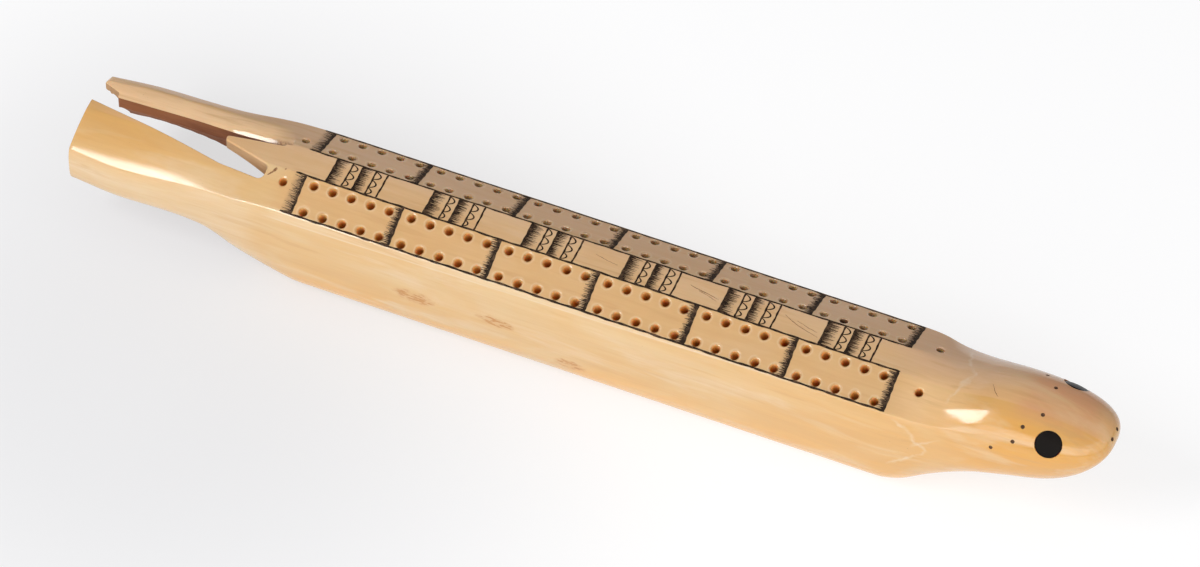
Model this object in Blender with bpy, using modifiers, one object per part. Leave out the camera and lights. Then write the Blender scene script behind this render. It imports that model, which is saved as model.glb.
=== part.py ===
# Cribbage board carved from one piece of tusk as a seal lying on its belly.
# The head points to +X, the tail to -X, the animal's left side to +Y, +Z is up.
# The origin lies in the rest plane under the middle of the playing board. Metres.

from math import atan2, cos, pi, radians, sin, tan

import bmesh
import bpy
import numpy as np
from mathutils import Matrix, Vector

# Playing board: a flat middle strip with a sloping panel on each side
PANEL_COUNT = 6
PANEL_PITCH = 0.028
STRIP_WIDTH = 0.0085
PANEL_WIDTH = 0.01145
PANEL_SLOPE = radians(21.6)
BOARD_HEIGHT = 0.037
SIDE_BULGE = 0.0019
SIDE_LINE_HEIGHT = 0.0233
BOARD_SQUARENESS = 4.0
UNDERSIDE_FLATTENING = 0.0003

# Peg holes, drilled square to the panels
HOLE_DIAMETER = 0.0022
HOLE_DEPTH = 0.007
HOLES_PER_ROW = 5
HOLE_END_MARGIN = 0.0031
INNER_ROW_MARGIN = 0.00225
OUTER_ROW_MARGIN = 0.0017

# Starting holes, one on each side past both ends of the board
START_HOLE_SIDE = 0.0076
START_HOLE_TAIL_REACH = 0.0053
START_HOLE_HEAD_REACH = 0.0071

# Head and tail
HEAD_LENGTH = 0.0588
NOSE_HEIGHT = 0.0319
TAIL_LENGTH = 0.0641

# Eyes: black discs let into round sockets
EYE_DIAMETER = 0.0071
EYE_THICKNESS = 0.0025
EYE_DOME_RADIUS = 0.016
EYE_PLACE = (0.745, 0.62)
INLAY_CLEARANCE = 0.0003

# Spots drilled on the brow and the nose, shallow pits
SPOT_DIAMETER = 0.0011
SPOT_DEPTH = 0.0008
SPOT_PLACES = ((0.68, 0.22), (0.615, 0.45), (0.59, 0.68), (0.5, 0.815), (0.99, 0.24))

# Slot between the two hind flippers, with a tongue left standing in it
SLOT_DEPTH = 0.0165
TONGUE_THICKNESS = 0.0036
TONGUE_RELIEF_DIAMETER = 0.0088
TONGUE_ROOT_UNDERCUT = 0.001

# Hollow under the flippers, open below and at the tail end
HOLLOW_WALL = 0.0035
HOLLOW_ROOF_THICKNESS = 0.0055
HOLLOW_AXIS_HEIGHT = 0.013
HOLLOW_END_DISTANCE = 0.0075

# A chip has taken the lower corner off the end of the left flipper
CHIP_LENGTH = 0.0056
CHIP_TIP_THICKNESS = 0.0042

# How far cutters reach past the surfaces they cut
CUT_REACH = 0.006

# Facets
HOLE_SIDES = 8
SPOT_SIDES = 6
EYE_SIDES = 20
LOWER_POINTS = 9

BOARD_LENGTH = PANEL_COUNT * PANEL_PITCH
HALF_BOARD = BOARD_LENGTH / 2
HALF_ROOF = STRIP_WIDTH / 2 + PANEL_WIDTH * cos(PANEL_SLOPE)
ROOF_DROP = PANEL_WIDTH * sin(PANEL_SLOPE)
HALF_WIDTH = HALF_ROOF + SIDE_BULGE

# Guide lines of the two carved ends. Each pair is a place, as a share of the head's or
# the tail's length from the end of the board, and a value there:
#   rise    height of the back over the board's strip, as a share of the board's height
#   width   half width, as a share of the board's half width
#   side    height of the widest line, as a share of the board's height
#   belly   height of the belly line, as a share of the board's height
#   roof    1 where the flat strip and panels are whole, 0 where the back is round
#   strip   width of the flat strip, as a share of its width on the board
#   drop    fall of the panels, as a share of their fall on the board
#   square  how boxy the lower half is, 2 for an ellipse
#   lean    shift to the animal's left, as a share of the board's half width
#   tilt    sideways slope of the underside
HEAD_GUIDES = {
    "rise": ((0, 0), (0.07, 0), (0.2, -0.008), (0.33, 0.025), (0.46, 0.075), (0.6, 0.09), (1, 0.045)),
    "width": ((0, 1), (0.07, 0.97), (0.2, 0.91), (0.33, 0.885), (0.46, 0.868), (0.6, 0.83), (1, 0.79)),
    "side": ((0, 0.63), (0.2, 0.676), (0.6, 0.755), (1, 0.862)),
    "belly": ((0, 0), (0.07, 0.012), (0.2, 0.12), (0.33, 0.22), (0.46, 0.313), (0.6, 0.347), (1, 0.32)),
    "roof": ((0, 1), (0.07, 1), (0.2, 0.7), (0.33, 0.3), (0.46, 0.05), (0.6, 0), (1, 0)),
    "strip": ((0, 1), (1, 1)),
    "drop": ((0, 1), (1, 1)),
    "square": ((0, 1), (0.2, 0.75), (0.33, 0.62), (0.6, 0.55), (1, 0.5)),
    "lean": ((0, 0), (1, 0)),
    "tilt": ((0, 0), (1, 0)),
}
TAIL_GUIDES = {
    "rise": ((0, 0), (0.12, 0), (1, -0.05)),
    "width": ((0, 1), (0.12, 0.968), (0.25, 0.944), (0.42, 0.91), (0.75, 0.95), (1, 0.865)),
    "side": ((0, 0.63), (0.42, 0.707), (1, 0.70)),
    "belly": ((0, 0), (0.12, 0.082), (0.25, 0.205), (0.42, 0.425), (0.6, 0.515), (1, 0.545)),
    "roof": ((0, 1), (0.15, 1), (0.42, 0.75), (0.72, 0.6), (1, 0.6)),
    "strip": ((0, 1), (0.12, 1), (0.42, 0.5), (1, 0.47)),
    "drop": ((0, 1), (0.42, 1.09), (0.72, 1), (1, 0.85)),
    "square": ((0, 1), (0.25, 1.16), (1, 1.16)),
    "lean": ((0, 0), (0.12, -0.01), (0.3, -0.055), (1, -0.154)),
    "tilt": ((0, 0), (0.2, 0.02), (0.6, 0.20), (1, 0.20)),
}

# The muzzle closes every guide line onto the nose, from this share of the head onward
MUZZLE_START = 0.46
MUZZLE_FULLNESS = 2.7
MUZZLE_WIDTH_POWER = 0.35
MUZZLE_BACK_POWER = 0.27
MUZZLE_CHIN_POWER = 0.75

# Outline of the flipper slot from above: a share of the tail's length from the end of
# the board, a share of the board's half width to the left, and the corner's radius
SLOT_CORNERS = (
    (1.1, 0.0, 0.0),
    (0.617, -0.30, 0.030),
    (0.368, -0.47, 0.014),
    (0.172, -0.52, 0.0016),
    (0.168, -0.29, 0.0010),
    (0.385, -0.075, 0.0008),
    (0.395, 0.03, 0.0008),
    (0.148, 0.17, 0.0005),
    (0.142, 0.265, 0.0006),
    (0.92, 0.238, 0.0),
    (0.925, 0.33, 0.0006),
    (1.0, 0.43, 0.0006),
    (1.1, 0.45, 0.0),
)


# A smooth line through (place, value) pairs that never overshoots between two of them
def follow(line, place):
    places = [pair[0] for pair in line]
    values = [pair[1] for pair in line]
    steps = [b - a for a, b in zip(places, places[1:])]
    slopes = [(b - a) / step for a, b, step in zip(values, values[1:], steps)]
    tangents = [slopes[0]]
    for before, after, a, b in zip(slopes, slopes[1:], steps, steps[1:]):
        if before * after <= 0:
            tangents.append(0.0)
        else:
            heavy = 2 * b + a
            light = b + 2 * a
            tangents.append((heavy + light) / (heavy / before + light / after))
    tangents.append(slopes[-1])
    place = min(max(place, places[0]), places[-1])
    i = max(k for k in range(len(steps)) if places[k] <= place)
    t = (place - places[i]) / steps[i]
    return ((1 + 2 * t) * (1 - t) ** 2 * values[i] + t * (1 - t) ** 2 * steps[i] * tangents[i]
            + t * t * (3 - 2 * t) * values[i + 1] + t * t * (t - 1) * steps[i] * tangents[i + 1])


# Every size of the cross-section at one place along the board
def section_sizes(x):
    guides = HEAD_GUIDES if x > 0 else TAIL_GUIDES
    length = HEAD_LENGTH if x > 0 else TAIL_LENGTH
    place = max(abs(x) - HALF_BOARD, 0.0) / length
    share = {name: follow(line, place) for name, line in guides.items()}
    sizes = {
        "back": BOARD_HEIGHT * (1 + share["rise"]),
        "half_width": HALF_WIDTH * share["width"],
        "side": SIDE_LINE_HEIGHT + BOARD_HEIGHT * (share["side"] - guides["side"][0][1]),
        "belly": BOARD_HEIGHT * share["belly"] - UNDERSIDE_FLATTENING,
        "roof": share["roof"],
        "strip": share["strip"],
        "drop": share["drop"],
        "square": BOARD_SQUARENESS * share["square"],
        "lean": HALF_WIDTH * share["lean"],
        "tilt": share["tilt"],
    }
    if x > 0 and place > MUZZLE_START:
        run = min((place - MUZZLE_START) / (1 - MUZZLE_START), 1.0)
        closing = 1 - run ** MUZZLE_FULLNESS
        sizes["half_width"] *= closing ** MUZZLE_WIDTH_POWER
        sizes["back"] = NOSE_HEIGHT + (sizes["back"] - NOSE_HEIGHT) * closing ** MUZZLE_BACK_POWER
        sizes["belly"] = NOSE_HEIGHT + (sizes["belly"] - NOSE_HEIGHT) * closing ** MUZZLE_CHIN_POWER
        sizes["side"] = NOSE_HEIGHT + (sizes["side"] - NOSE_HEIGHT) * (1 - run)
    return sizes


# Left upper quarter of the section, from the middle of the back to the widest line, and
# how far round each point lies. It blends the roof shape into a round back.
def upper_quarter(sizes):
    scale = min(1.0, sizes["half_width"] / (HALF_WIDTH - SIDE_BULGE / 2))
    edge = HALF_ROOF * scale
    strip = STRIP_WIDTH / 2 * scale * sizes["strip"]
    eave = sizes["back"] - ROOF_DROP * scale * sizes["drop"]
    y = [0.0, strip / 2]
    z = [sizes["back"], sizes["back"]]
    for across in (0, 0.35, 0.70):
        y.append(strip + (edge - strip) * across)
        z.append(sizes["back"] + (eave - sizes["back"]) * across)
    for turn in np.linspace(0, pi / 2, 5):
        y.append(edge + (sizes["half_width"] - edge) * sin(turn))
        z.append(eave - (eave - sizes["side"]) * (1 - cos(turn)))
    y = np.array(y)
    z = np.array(z)
    path = np.concatenate([[0], np.cumsum(np.hypot(np.diff(y), np.diff(z)))])
    around = path / path[-1]
    turn = around * pi / 2
    round_y = sizes["half_width"] * np.sin(turn) ** 0.95
    round_z = sizes["side"] + (sizes["back"] - sizes["side"]) * np.cos(turn)
    y = sizes["roof"] * y + (1 - sizes["roof"]) * round_y
    z = sizes["roof"] * z + (1 - sizes["roof"]) * round_z
    return around, y, z


# One closed ring of the body, from the back down the left side and up the right side
def body_ring(x):
    sizes = section_sizes(x)
    around, y, z = upper_quarter(sizes)
    turn = np.linspace(0, pi / 2, LOWER_POINTS)[1:]
    power = 2 / sizes["square"]
    low_y = sizes["half_width"] * np.maximum(np.cos(turn), 0) ** power
    low_z = sizes["side"] + (sizes["belly"] - sizes["side"]) * np.sin(turn) ** power
    low_y[-1] = 0.0
    left_y = np.concatenate([y, low_y])
    left_z = np.concatenate([z, low_z])
    ring_y = np.concatenate([left_y, -left_y[-2:0:-1]])
    ring_z = np.concatenate([left_z, left_z[-2:0:-1]])
    below = np.clip((sizes["side"] - ring_z) / (sizes["side"] - sizes["belly"] + 1e-9), 0, 1)
    ring_z = np.maximum(ring_z + sizes["tilt"] * ring_y * below, 0.0)
    return [(x, sizes["lean"] + a, b) for a, b in zip(ring_y, ring_z)]


# Point on the skin and the outward direction there. around is 0 in the middle of the
# back and 1 on the widest line, side is 1 for the left and -1 for the right.
def skin(x, around, side):
    def at(place_x, place_around):
        sizes = section_sizes(place_x)
        shares, y, z = upper_quarter(sizes)
        across = sizes["lean"] + side * np.interp(place_around, shares, y)
        return Vector((place_x, across, np.interp(place_around, shares, z)))

    step = 0.0004
    turn = 0.04
    point = at(x, around)
    along = at(x + step, around) - at(x - step, around)
    across = at(x, around + turn) - at(x, around - turn)
    return point, (along.cross(across) * side).normalized()


# Places along the body where a ring is set. The board needs only its two ends.
def ring_places():
    tail = [-HALF_BOARD - TAIL_LENGTH * (1 - k / 15) for k in range(16)]
    head = [HALF_BOARD + HEAD_LENGTH * MUZZLE_START * k / 8 for k in range(9)]
    muzzle = HALF_BOARD + HEAD_LENGTH * MUZZLE_START
    reach = HEAD_LENGTH * (1 - MUZZLE_START)
    turns = [pi / 2 * k / 12 for k in range(1, 12)]
    return tail + head + [muzzle + reach * sin(turn) for turn in turns]


# Closed mesh through a row of rings, ending flat on the first and in a point past the last
def loft(name, rings, tip):
    shape = bmesh.new()
    rows = [[shape.verts.new(point) for point in ring] for ring in rings]
    count = len(rings[0])
    for row, following in zip(rows, rows[1:]):
        for k in range(count):
            shape.faces.new((row[k], following[k], following[(k + 1) % count], row[(k + 1) % count]))
    shape.faces.new(rows[0])
    point = shape.verts.new(tip)
    for k in range(count):
        shape.faces.new((rows[-1][k], point, rows[-1][(k + 1) % count]))
    bmesh.ops.recalc_face_normals(shape, faces=shape.faces)
    return as_object(name, shape)


def as_object(name, shape):
    mesh = bpy.data.meshes.new(name)
    shape.to_mesh(mesh)
    shape.free()
    return bpy.data.objects.new(name, mesh)


def new_material(name, colour, roughness):
    material = bpy.data.materials.new(name)
    material.use_nodes = True
    shader = material.node_tree.nodes["Principled BSDF"]
    shader.inputs["Base Color"].default_value = (*colour, 1.0)
    shader.inputs["Roughness"].default_value = roughness
    shader.inputs["Metallic"].default_value = 0.0
    return material


# A cylinder that starts at a depth under a point of the surface and reaches out past it
def add_drill(shape, point, outward, diameter, depth, sides):
    length = depth + CUT_REACH
    centre = point + outward * (length / 2 - depth)
    turn = outward.to_track_quat("Z", "Y").to_matrix().to_4x4()
    bmesh.ops.create_cone(shape, cap_ends=True, segments=sides, radius1=diameter / 2,
                          radius2=diameter / 2, depth=length, matrix=Matrix.Translation(centre) @ turn)


# Peg holes on both panels, in two rows of every section of the board
def add_peg_holes(shape):
    spacing = (PANEL_PITCH - 2 * HOLE_END_MARGIN) / (HOLES_PER_ROW - 1)
    for side in (-1, 1):
        outward = Vector((0, side * sin(PANEL_SLOPE), cos(PANEL_SLOPE)))
        for down in (INNER_ROW_MARGIN, PANEL_WIDTH - OUTER_ROW_MARGIN):
            y = side * (STRIP_WIDTH / 2 + down * cos(PANEL_SLOPE))
            z = BOARD_HEIGHT - down * sin(PANEL_SLOPE)
            for panel in range(PANEL_COUNT):
                for k in range(HOLES_PER_ROW):
                    x = panel * PANEL_PITCH - HALF_BOARD + HOLE_END_MARGIN + k * spacing
                    add_drill(shape, Vector((x, y, z)), outward, HOLE_DIAMETER, HOLE_DEPTH, HOLE_SIDES)


# Starting holes, each on the panel's slope carried on past the end of the board
def add_start_holes(shape):
    down = START_HOLE_SIDE - STRIP_WIDTH / 2
    z = BOARD_HEIGHT - down * tan(PANEL_SLOPE)
    for x in (-HALF_BOARD - START_HOLE_TAIL_REACH, HALF_BOARD + START_HOLE_HEAD_REACH):
        for side in (-1, 1):
            outward = Vector((0, side * sin(PANEL_SLOPE), cos(PANEL_SLOPE)))
            point = Vector((x, side * START_HOLE_SIDE, z))
            add_drill(shape, point, outward, HOLE_DIAMETER, HOLE_DEPTH, HOLE_SIDES)


def head_skin(place, side):
    return skin(HALF_BOARD + HEAD_LENGTH * place[0], place[1], side)


# Pits of the spots and the sockets of the eyes
def add_head_pits(shape):
    for side in (-1, 1):
        point, outward = head_skin(EYE_PLACE, side)
        diameter = EYE_DIAMETER + 2 * INLAY_CLEARANCE
        add_drill(shape, point, outward, diameter, EYE_THICKNESS + INLAY_CLEARANCE, EYE_SIDES)
        for place in SPOT_PLACES:
            point, outward = head_skin(place, side)
            add_drill(shape, point, outward, SPOT_DIAMETER, SPOT_DEPTH, SPOT_SIDES)


# Corner points of an outline with each corner turned into an arc of its radius
def round_corners(corners):
    outline = []
    for k, (x, y, radius) in enumerate(corners):
        corner = Vector((x, y))
        if radius == 0:
            outline.append(corner)
            continue
        before = (Vector(corners[k - 1][:2]) - corner).normalized()
        after = (Vector(corners[(k + 1) % len(corners)][:2]) - corner).normalized()
        half_angle = before.angle(after) / 2
        centre = corner + (before + after).normalized() * radius / sin(half_angle)
        first = corner + before * radius / tan(half_angle) - centre
        last = corner + after * radius / tan(half_angle) - centre
        start = atan2(first.y, first.x)
        sweep = (atan2(last.y, last.x) - start + pi) % (2 * pi) - pi
        parts = max(2, round(abs(sweep) / radians(25)))
        for step in range(parts + 1):
            turn = start + sweep * step / parts
            outline.append(centre + radius * Vector((cos(turn), sin(turn))))
    return outline


def flipper_slot():
    corners = [(-HALF_BOARD - TAIL_LENGTH * a, HALF_WIDTH * b, radius) for a, b, radius in SLOT_CORNERS]
    bottom = BOARD_HEIGHT - SLOT_DEPTH
    top = BOARD_HEIGHT + CUT_REACH
    curve = bpy.data.curves.new("flipper_slot", "CURVE")
    curve.dimensions = "2D"
    curve.fill_mode = "BOTH"
    curve.extrude = (top - bottom) / 2
    outline = round_corners(corners)
    spline = curve.splines.new("POLY")
    spline.points.add(len(outline) - 1)
    spline.use_cyclic_u = True
    for point, place in zip(spline.points, outline):
        point.co = (place.x, place.y, 0, 1)
    cutter = bpy.data.objects.new("flipper_slot", curve)
    cutter.location.z = (top + bottom) / 2
    return from_curve(cutter)


# Mesh object in place of a filled curve, with its caps welded on
def from_curve(source):
    bpy.context.scene.collection.objects.link(source)
    bpy.context.view_layer.update()
    evaluated = source.evaluated_get(bpy.context.evaluated_depsgraph_get())
    mesh = bpy.data.meshes.new_from_object(evaluated)
    matrix = source.matrix_world.copy()
    name = source.name
    bpy.data.objects.remove(source)
    shape = bmesh.new()
    shape.from_mesh(mesh)
    bmesh.ops.remove_doubles(shape, verts=shape.verts, dist=0.00001)
    bmesh.ops.recalc_face_normals(shape, faces=shape.faces)
    shape.to_mesh(mesh)
    shape.free()
    body = bpy.data.objects.new(name, mesh)
    body.matrix_world = matrix
    return body


# The hollow is an oval bore that closes in a blunt end under the root of the tongue
def tail_hollow():
    start = -HALF_BOARD - TAIL_LENGTH - CUT_REACH
    end = -HALF_BOARD - HOLLOW_END_DISTANCE
    crown = BOARD_HEIGHT - HOLLOW_ROOF_THICKNESS - HOLLOW_AXIS_HEIGHT
    rings = []
    for run in np.sin(np.linspace(0, radians(86), 14)):
        closing = 1 - run ** 8
        x = start + (end - start) * run
        sizes = section_sizes(x)
        half_width = (sizes["half_width"] - HOLLOW_WALL) * closing ** 0.4
        height = crown * closing ** 0.15
        turns = np.linspace(0, 2 * pi, 24, endpoint=False)
        rings.append([(x, sizes["lean"] + half_width * sin(turn),
                       HOLLOW_AXIS_HEIGHT + height * cos(turn)) for turn in turns])
    return loft("tail_hollow", rings, (end, 0, HOLLOW_AXIS_HEIGHT))


# The block that the chip took away, under the tip of the left flipper
def flipper_chip():
    end = -HALF_BOARD - TAIL_LENGTH
    back = section_sizes(end)["back"] - ROOF_DROP / 2
    height = back - CHIP_TIP_THICKNESS
    length = CHIP_LENGTH + CUT_REACH
    centre = Vector((end + CHIP_LENGTH - length / 2, HALF_WIDTH / 2, height / 2))
    shape = bmesh.new()
    block = Matrix.Diagonal((length, HALF_WIDTH, height, 1))
    bmesh.ops.create_cube(shape, size=1, matrix=Matrix.Translation(centre) @ block)
    return as_object("flipper_chip", shape)


# A round bar of space that leaves the tongue at its own thickness
def tongue_relief():
    root = -HALF_BOARD - TAIL_LENGTH * SLOT_CORNERS[4][0] + TONGUE_ROOT_UNDERCUT
    length = TAIL_LENGTH * (SLOT_CORNERS[6][0] - SLOT_CORNERS[4][0]) + CUT_REACH
    y = HALF_WIDTH * (SLOT_CORNERS[4][1] + SLOT_CORNERS[7][1]) / 2
    z = BOARD_HEIGHT - TONGUE_THICKNESS - TONGUE_RELIEF_DIAMETER / 2
    shape = bmesh.new()
    turn = Matrix.Rotation(pi / 2, 4, "Y")
    bmesh.ops.create_cone(shape, cap_ends=True, segments=20, radius1=TONGUE_RELIEF_DIAMETER / 2,
                          radius2=TONGUE_RELIEF_DIAMETER / 2, depth=length,
                          matrix=Matrix.Translation((root - length / 2, y, z)) @ turn)
    return as_object("tongue_relief", shape)


def drillings():
    shape = bmesh.new()
    add_peg_holes(shape)
    add_start_holes(shape)
    add_head_pits(shape)
    return as_object("drillings", shape)


def cut(body, cutter, cutters):
    cutter.display_type = "WIRE"
    cutter.hide_render = True
    cutters.objects.link(cutter)
    modifier = body.modifiers.new(cutter.name, "BOOLEAN")
    modifier.operation = "DIFFERENCE"
    modifier.solver = "EXACT"
    modifier.object = cutter


def seal_body(parts, cutters):
    nose = (HALF_BOARD + HEAD_LENGTH, 0, NOSE_HEIGHT)
    body = loft("seal_body", [body_ring(x) for x in ring_places()], nose)
    body.data.materials.append(new_material("polished ivory", (0.85, 0.66, 0.42), 0.28))
    body.data.shade_smooth()
    body.data.set_sharp_from_angle(angle=radians(18))
    parts.objects.link(body)
    cut(body, tail_hollow(), cutters)
    cut(body, flipper_slot(), cutters)
    cut(body, tongue_relief(), cutters)
    cut(body, flipper_chip(), cutters)
    cut(body, drillings(), cutters)
    return body


# A thick disc with a domed face, turned about its own axis and set flush in its socket
def eye(name, side, parts):
    radius = EYE_DIAMETER / 2
    rim = EYE_DOME_RADIUS - (EYE_DOME_RADIUS ** 2 - radius ** 2) ** 0.5
    profile = []
    for k in range(4):
        across = radius * k / 3
        fall = EYE_DOME_RADIUS - (EYE_DOME_RADIUS ** 2 - across ** 2) ** 0.5
        profile.append((across, 0, -fall))
    profile += [(radius, 0, -EYE_THICKNESS), (0, 0, -EYE_THICKNESS)]
    mesh = bpy.data.meshes.new(name)
    mesh.from_pydata(profile, [(k, k + 1) for k in range(len(profile) - 1)], [])
    disc = bpy.data.objects.new(name, mesh)
    turned = disc.modifiers.new("turned", "SCREW")
    turned.steps = EYE_SIDES
    turned.render_steps = EYE_SIDES
    turned.use_merge_vertices = True
    turned.merge_threshold = 0.00001
    turned.use_smooth_shade = True
    point, outward = head_skin(EYE_PLACE, side)
    disc.rotation_mode = "QUATERNION"
    disc.rotation_quaternion = outward.to_track_quat("Z", "Y")
    disc.location = point
    disc.data.materials.append(new_material(name + " black", (0.012, 0.011, 0.012), 0.3))
    parts.objects.link(disc)
    return disc


def build():
    for old in list(bpy.data.objects):
        bpy.data.objects.remove(old)
    parts = bpy.data.collections.new("scrimshaw cribbage board")
    cutters = bpy.data.collections.new("cutters")
    bpy.context.scene.collection.children.link(parts)
    bpy.context.scene.collection.children.link(cutters)
    seal_body(parts, cutters)
    eye("left_eye", 1, parts)
    eye("right_eye", -1, parts)


build()
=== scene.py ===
from math import atan2, cos, pi, radians, sin, tan

import bpy
import numpy as np
from mathutils import Matrix, Quaternion, Vector


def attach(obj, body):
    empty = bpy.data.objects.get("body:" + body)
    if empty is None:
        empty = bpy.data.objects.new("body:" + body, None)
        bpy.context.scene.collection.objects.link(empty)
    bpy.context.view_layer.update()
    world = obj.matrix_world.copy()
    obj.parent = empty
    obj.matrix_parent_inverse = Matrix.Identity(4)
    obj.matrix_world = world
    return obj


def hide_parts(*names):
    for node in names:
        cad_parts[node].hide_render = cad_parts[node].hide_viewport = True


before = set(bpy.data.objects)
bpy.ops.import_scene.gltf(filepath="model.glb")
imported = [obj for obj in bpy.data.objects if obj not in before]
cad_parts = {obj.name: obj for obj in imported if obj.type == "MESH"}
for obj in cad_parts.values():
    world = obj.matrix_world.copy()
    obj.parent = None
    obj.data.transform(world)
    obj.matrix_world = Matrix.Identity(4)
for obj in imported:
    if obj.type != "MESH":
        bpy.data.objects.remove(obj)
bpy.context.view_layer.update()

# Scrimshaw cribbage board: an ivory seal with a drilled and engraved back.
# Head to +X, the animal's left to +Y, metres.


# Sizes of the carving, its cuts and its engraving

bodyShape = {
    "sections": 6, "sectionLength": 0.028,
    "stripWidth": 0.0085, "panelWidth": 0.01145, "panelSlope": radians(21.6),
    "boardHeight": 0.037, "sideBulge": 0.0019, "sideLine": 0.0233,
    "squareness": 4.0, "flattening": 0.0003,
    "headLength": 0.0588, "noseHeight": 0.0319, "tailLength": 0.0641,
    "muzzleStart": 0.46, "fullness": 2.7, "widthPower": 0.35, "backPower": 0.27, "chinPower": 0.75,
    "guideSmoothing": 0.0012,      # the guide lines are averaged over four of these
    "ridgeRounding": 0.0004,       # wear on the edge between strip and panel
    "neckWear": 6.5,               # how much rounder that edge is over the neck
    "handWork": 0.00007,           # how uneven the scraped surface is
    "endRounding": 0.0006,
    "tailRings": 66, "boardRings": 121, "neckRings": 30, "muzzleRings": 44,
    "stripPoints": 4, "edgePoints": 5, "panelPoints": 11, "sidePoints": 15, "lowerPoints": 26,
    "gridColumns": 801,
    "sharpAngle": radians(32), "cornerWeight": 80,
}
halfBoard = bodyShape["sections"] * bodyShape["sectionLength"] / 2
halfStrip = bodyShape["stripWidth"] / 2
halfRoof = halfStrip + bodyShape["panelWidth"] * cos(bodyShape["panelSlope"])
roofDrop = bodyShape["panelWidth"] * sin(bodyShape["panelSlope"])
halfWidth = halfRoof + bodyShape["sideBulge"]
dividerPlaces = np.arange(bodyShape["sections"] + 1) * bodyShape["sectionLength"] - halfBoard
cutterTop = bodyShape["boardHeight"] + 0.004
topStep = (0.031, 0.0315)  # anything higher is on the board's top

cutSizes = {
    "holeRadius": 0.0011, "holeDepth": 0.007, "holesPerRow": 5, "holeEndMargin": 0.0031,
    "innerMargin": 0.00225, "outerMargin": 0.0017, "holeWander": 0.00012,
    "startSide": 0.0076, "startTail": 0.0053, "startHead": 0.0071,
    "spotRadius": 0.00052, "spotDepth": 0.0007,
    "spots": ((0.68, 0.22), (0.615, 0.45), (0.59, 0.68), (0.5, 0.815), (0.99, 0.24)),
    "socketGap": 0.00008, "eyeDepth": 0.0026,
    "slotDepth": 0.0165, "slotEdge": 0.0004,
    "lipWidth": 0.0064, "lipDepth": 0.0020,      # the worn bevel along the left flipper
    "rootDepth": 0.0008, "lipEnd": -0.0915, "lipClosing": 0.007,
    "tongueThickness": 0.0036, "reliefRadius": 0.0044, "rootUndercut": 0.001,
    "hollowWall": 0.0035, "hollowRoof": 0.0055, "hollowAxis": 0.013, "hollowEnd": 0.0075,
    "chipLength": 0.0056, "chipTip": 0.0032,
    "drillSides": 22, "spotSides": 14, "socketSides": 56, "reliefSides": 48,
    "hollowRows": 60, "hollowSides": 64, "lipRows": 110, "lipColumns": 15, "chipRows": 26, "chipColumns": 22,
}
holeSpacing = (bodyShape["sectionLength"] - 2 * cutSizes["holeEndMargin"]) / (cutSizes["holesPerRow"] - 1)
holeRows = [halfStrip + down * cos(bodyShape["panelSlope"])
            for down in (cutSizes["innerMargin"], bodyShape["panelWidth"] - cutSizes["outerMargin"])]

inkLook = {
    "proud": 0.000045,        # how far the ink stands over the skin
    "sideLift": 0.6,          # share of that at a stroke's edges
    "cutDepth": 0.00012,
    "lineWidth": 0.00054, "crossWidth": 0.00050, "scallopWidth": 0.00038,
    "crossLines": (0.0055, 0.0100, 0.0129, 0.0167, 0.0200),
    "scallops": ((-0.0040, -0.0018, 0.0013), (-0.0017, 0.0010, 0.0019), (0.0012, 0.0039, 0.0017)),
    # fringes: number of strokes, shortest and longest reach, width, slant
    "dividerFringe": ((50, -0.0013, -0.0006, 0.00034, 0.12), (44, -0.0025, -0.0012, 0.00025, 0.12)),
    "firstFringe": ((34, -0.0030, -0.0012, 0.00022, 0.5), (34, -0.0012, -0.0005, 0.00036, 0.7)),
    "crackWidth": 0.00020, "crackPoints": 14, "crackShake": 0.00006, "sharpAngle": radians(60),
    # the width of each crack's strokes as a share, and the places in x and y it runs through
    "cracks": (
        (0.8, ((0.1086, -0.0004), (0.1093, -0.0015), (0.1102, -0.0028), (0.1112, -0.0037))),
        (1.0, ((0.0500, 0.0016), (0.0540, -0.0004), (0.0605, -0.0022))),
        (0.7, ((0.0535, 0.0009), (0.0570, -0.0001), (0.0598, -0.0008))),
        (1.0, ((0.0235, 0.0011), (0.0270, 0.0004), (0.0322, -0.0006))),
        (0.7, ((0.0262, 0.0002), (0.0290, -0.0004), (0.0318, -0.0014))),
        (0.6, ((-0.0032, 0.0010), (0.0000, 0.0002), (0.0035, -0.0003))),
        (2.2, ((-0.0939, -0.0072), (-0.0932, -0.0064), (-0.0922, -0.0054))),
        (4.0, ((-0.0929, -0.0061), (-0.0925, -0.0055), (-0.0921, -0.0048))),
        (2.0, ((-0.0900, -0.0046), (-0.0899, -0.0044), (-0.0897, -0.0042))),
    ),
}


# Shared mesh helpers

# Object of that name and data, placed in the scene
def newThing(name, data):
    thing = bpy.data.objects.new(name, data)
    bpy.context.scene.collection.objects.link(thing)
    return thing


# The vectors at length 1
def unit(vectors):
    return vectors / np.maximum(np.linalg.norm(vectors, axis=-1, keepdims=True), 1e-9)


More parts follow.
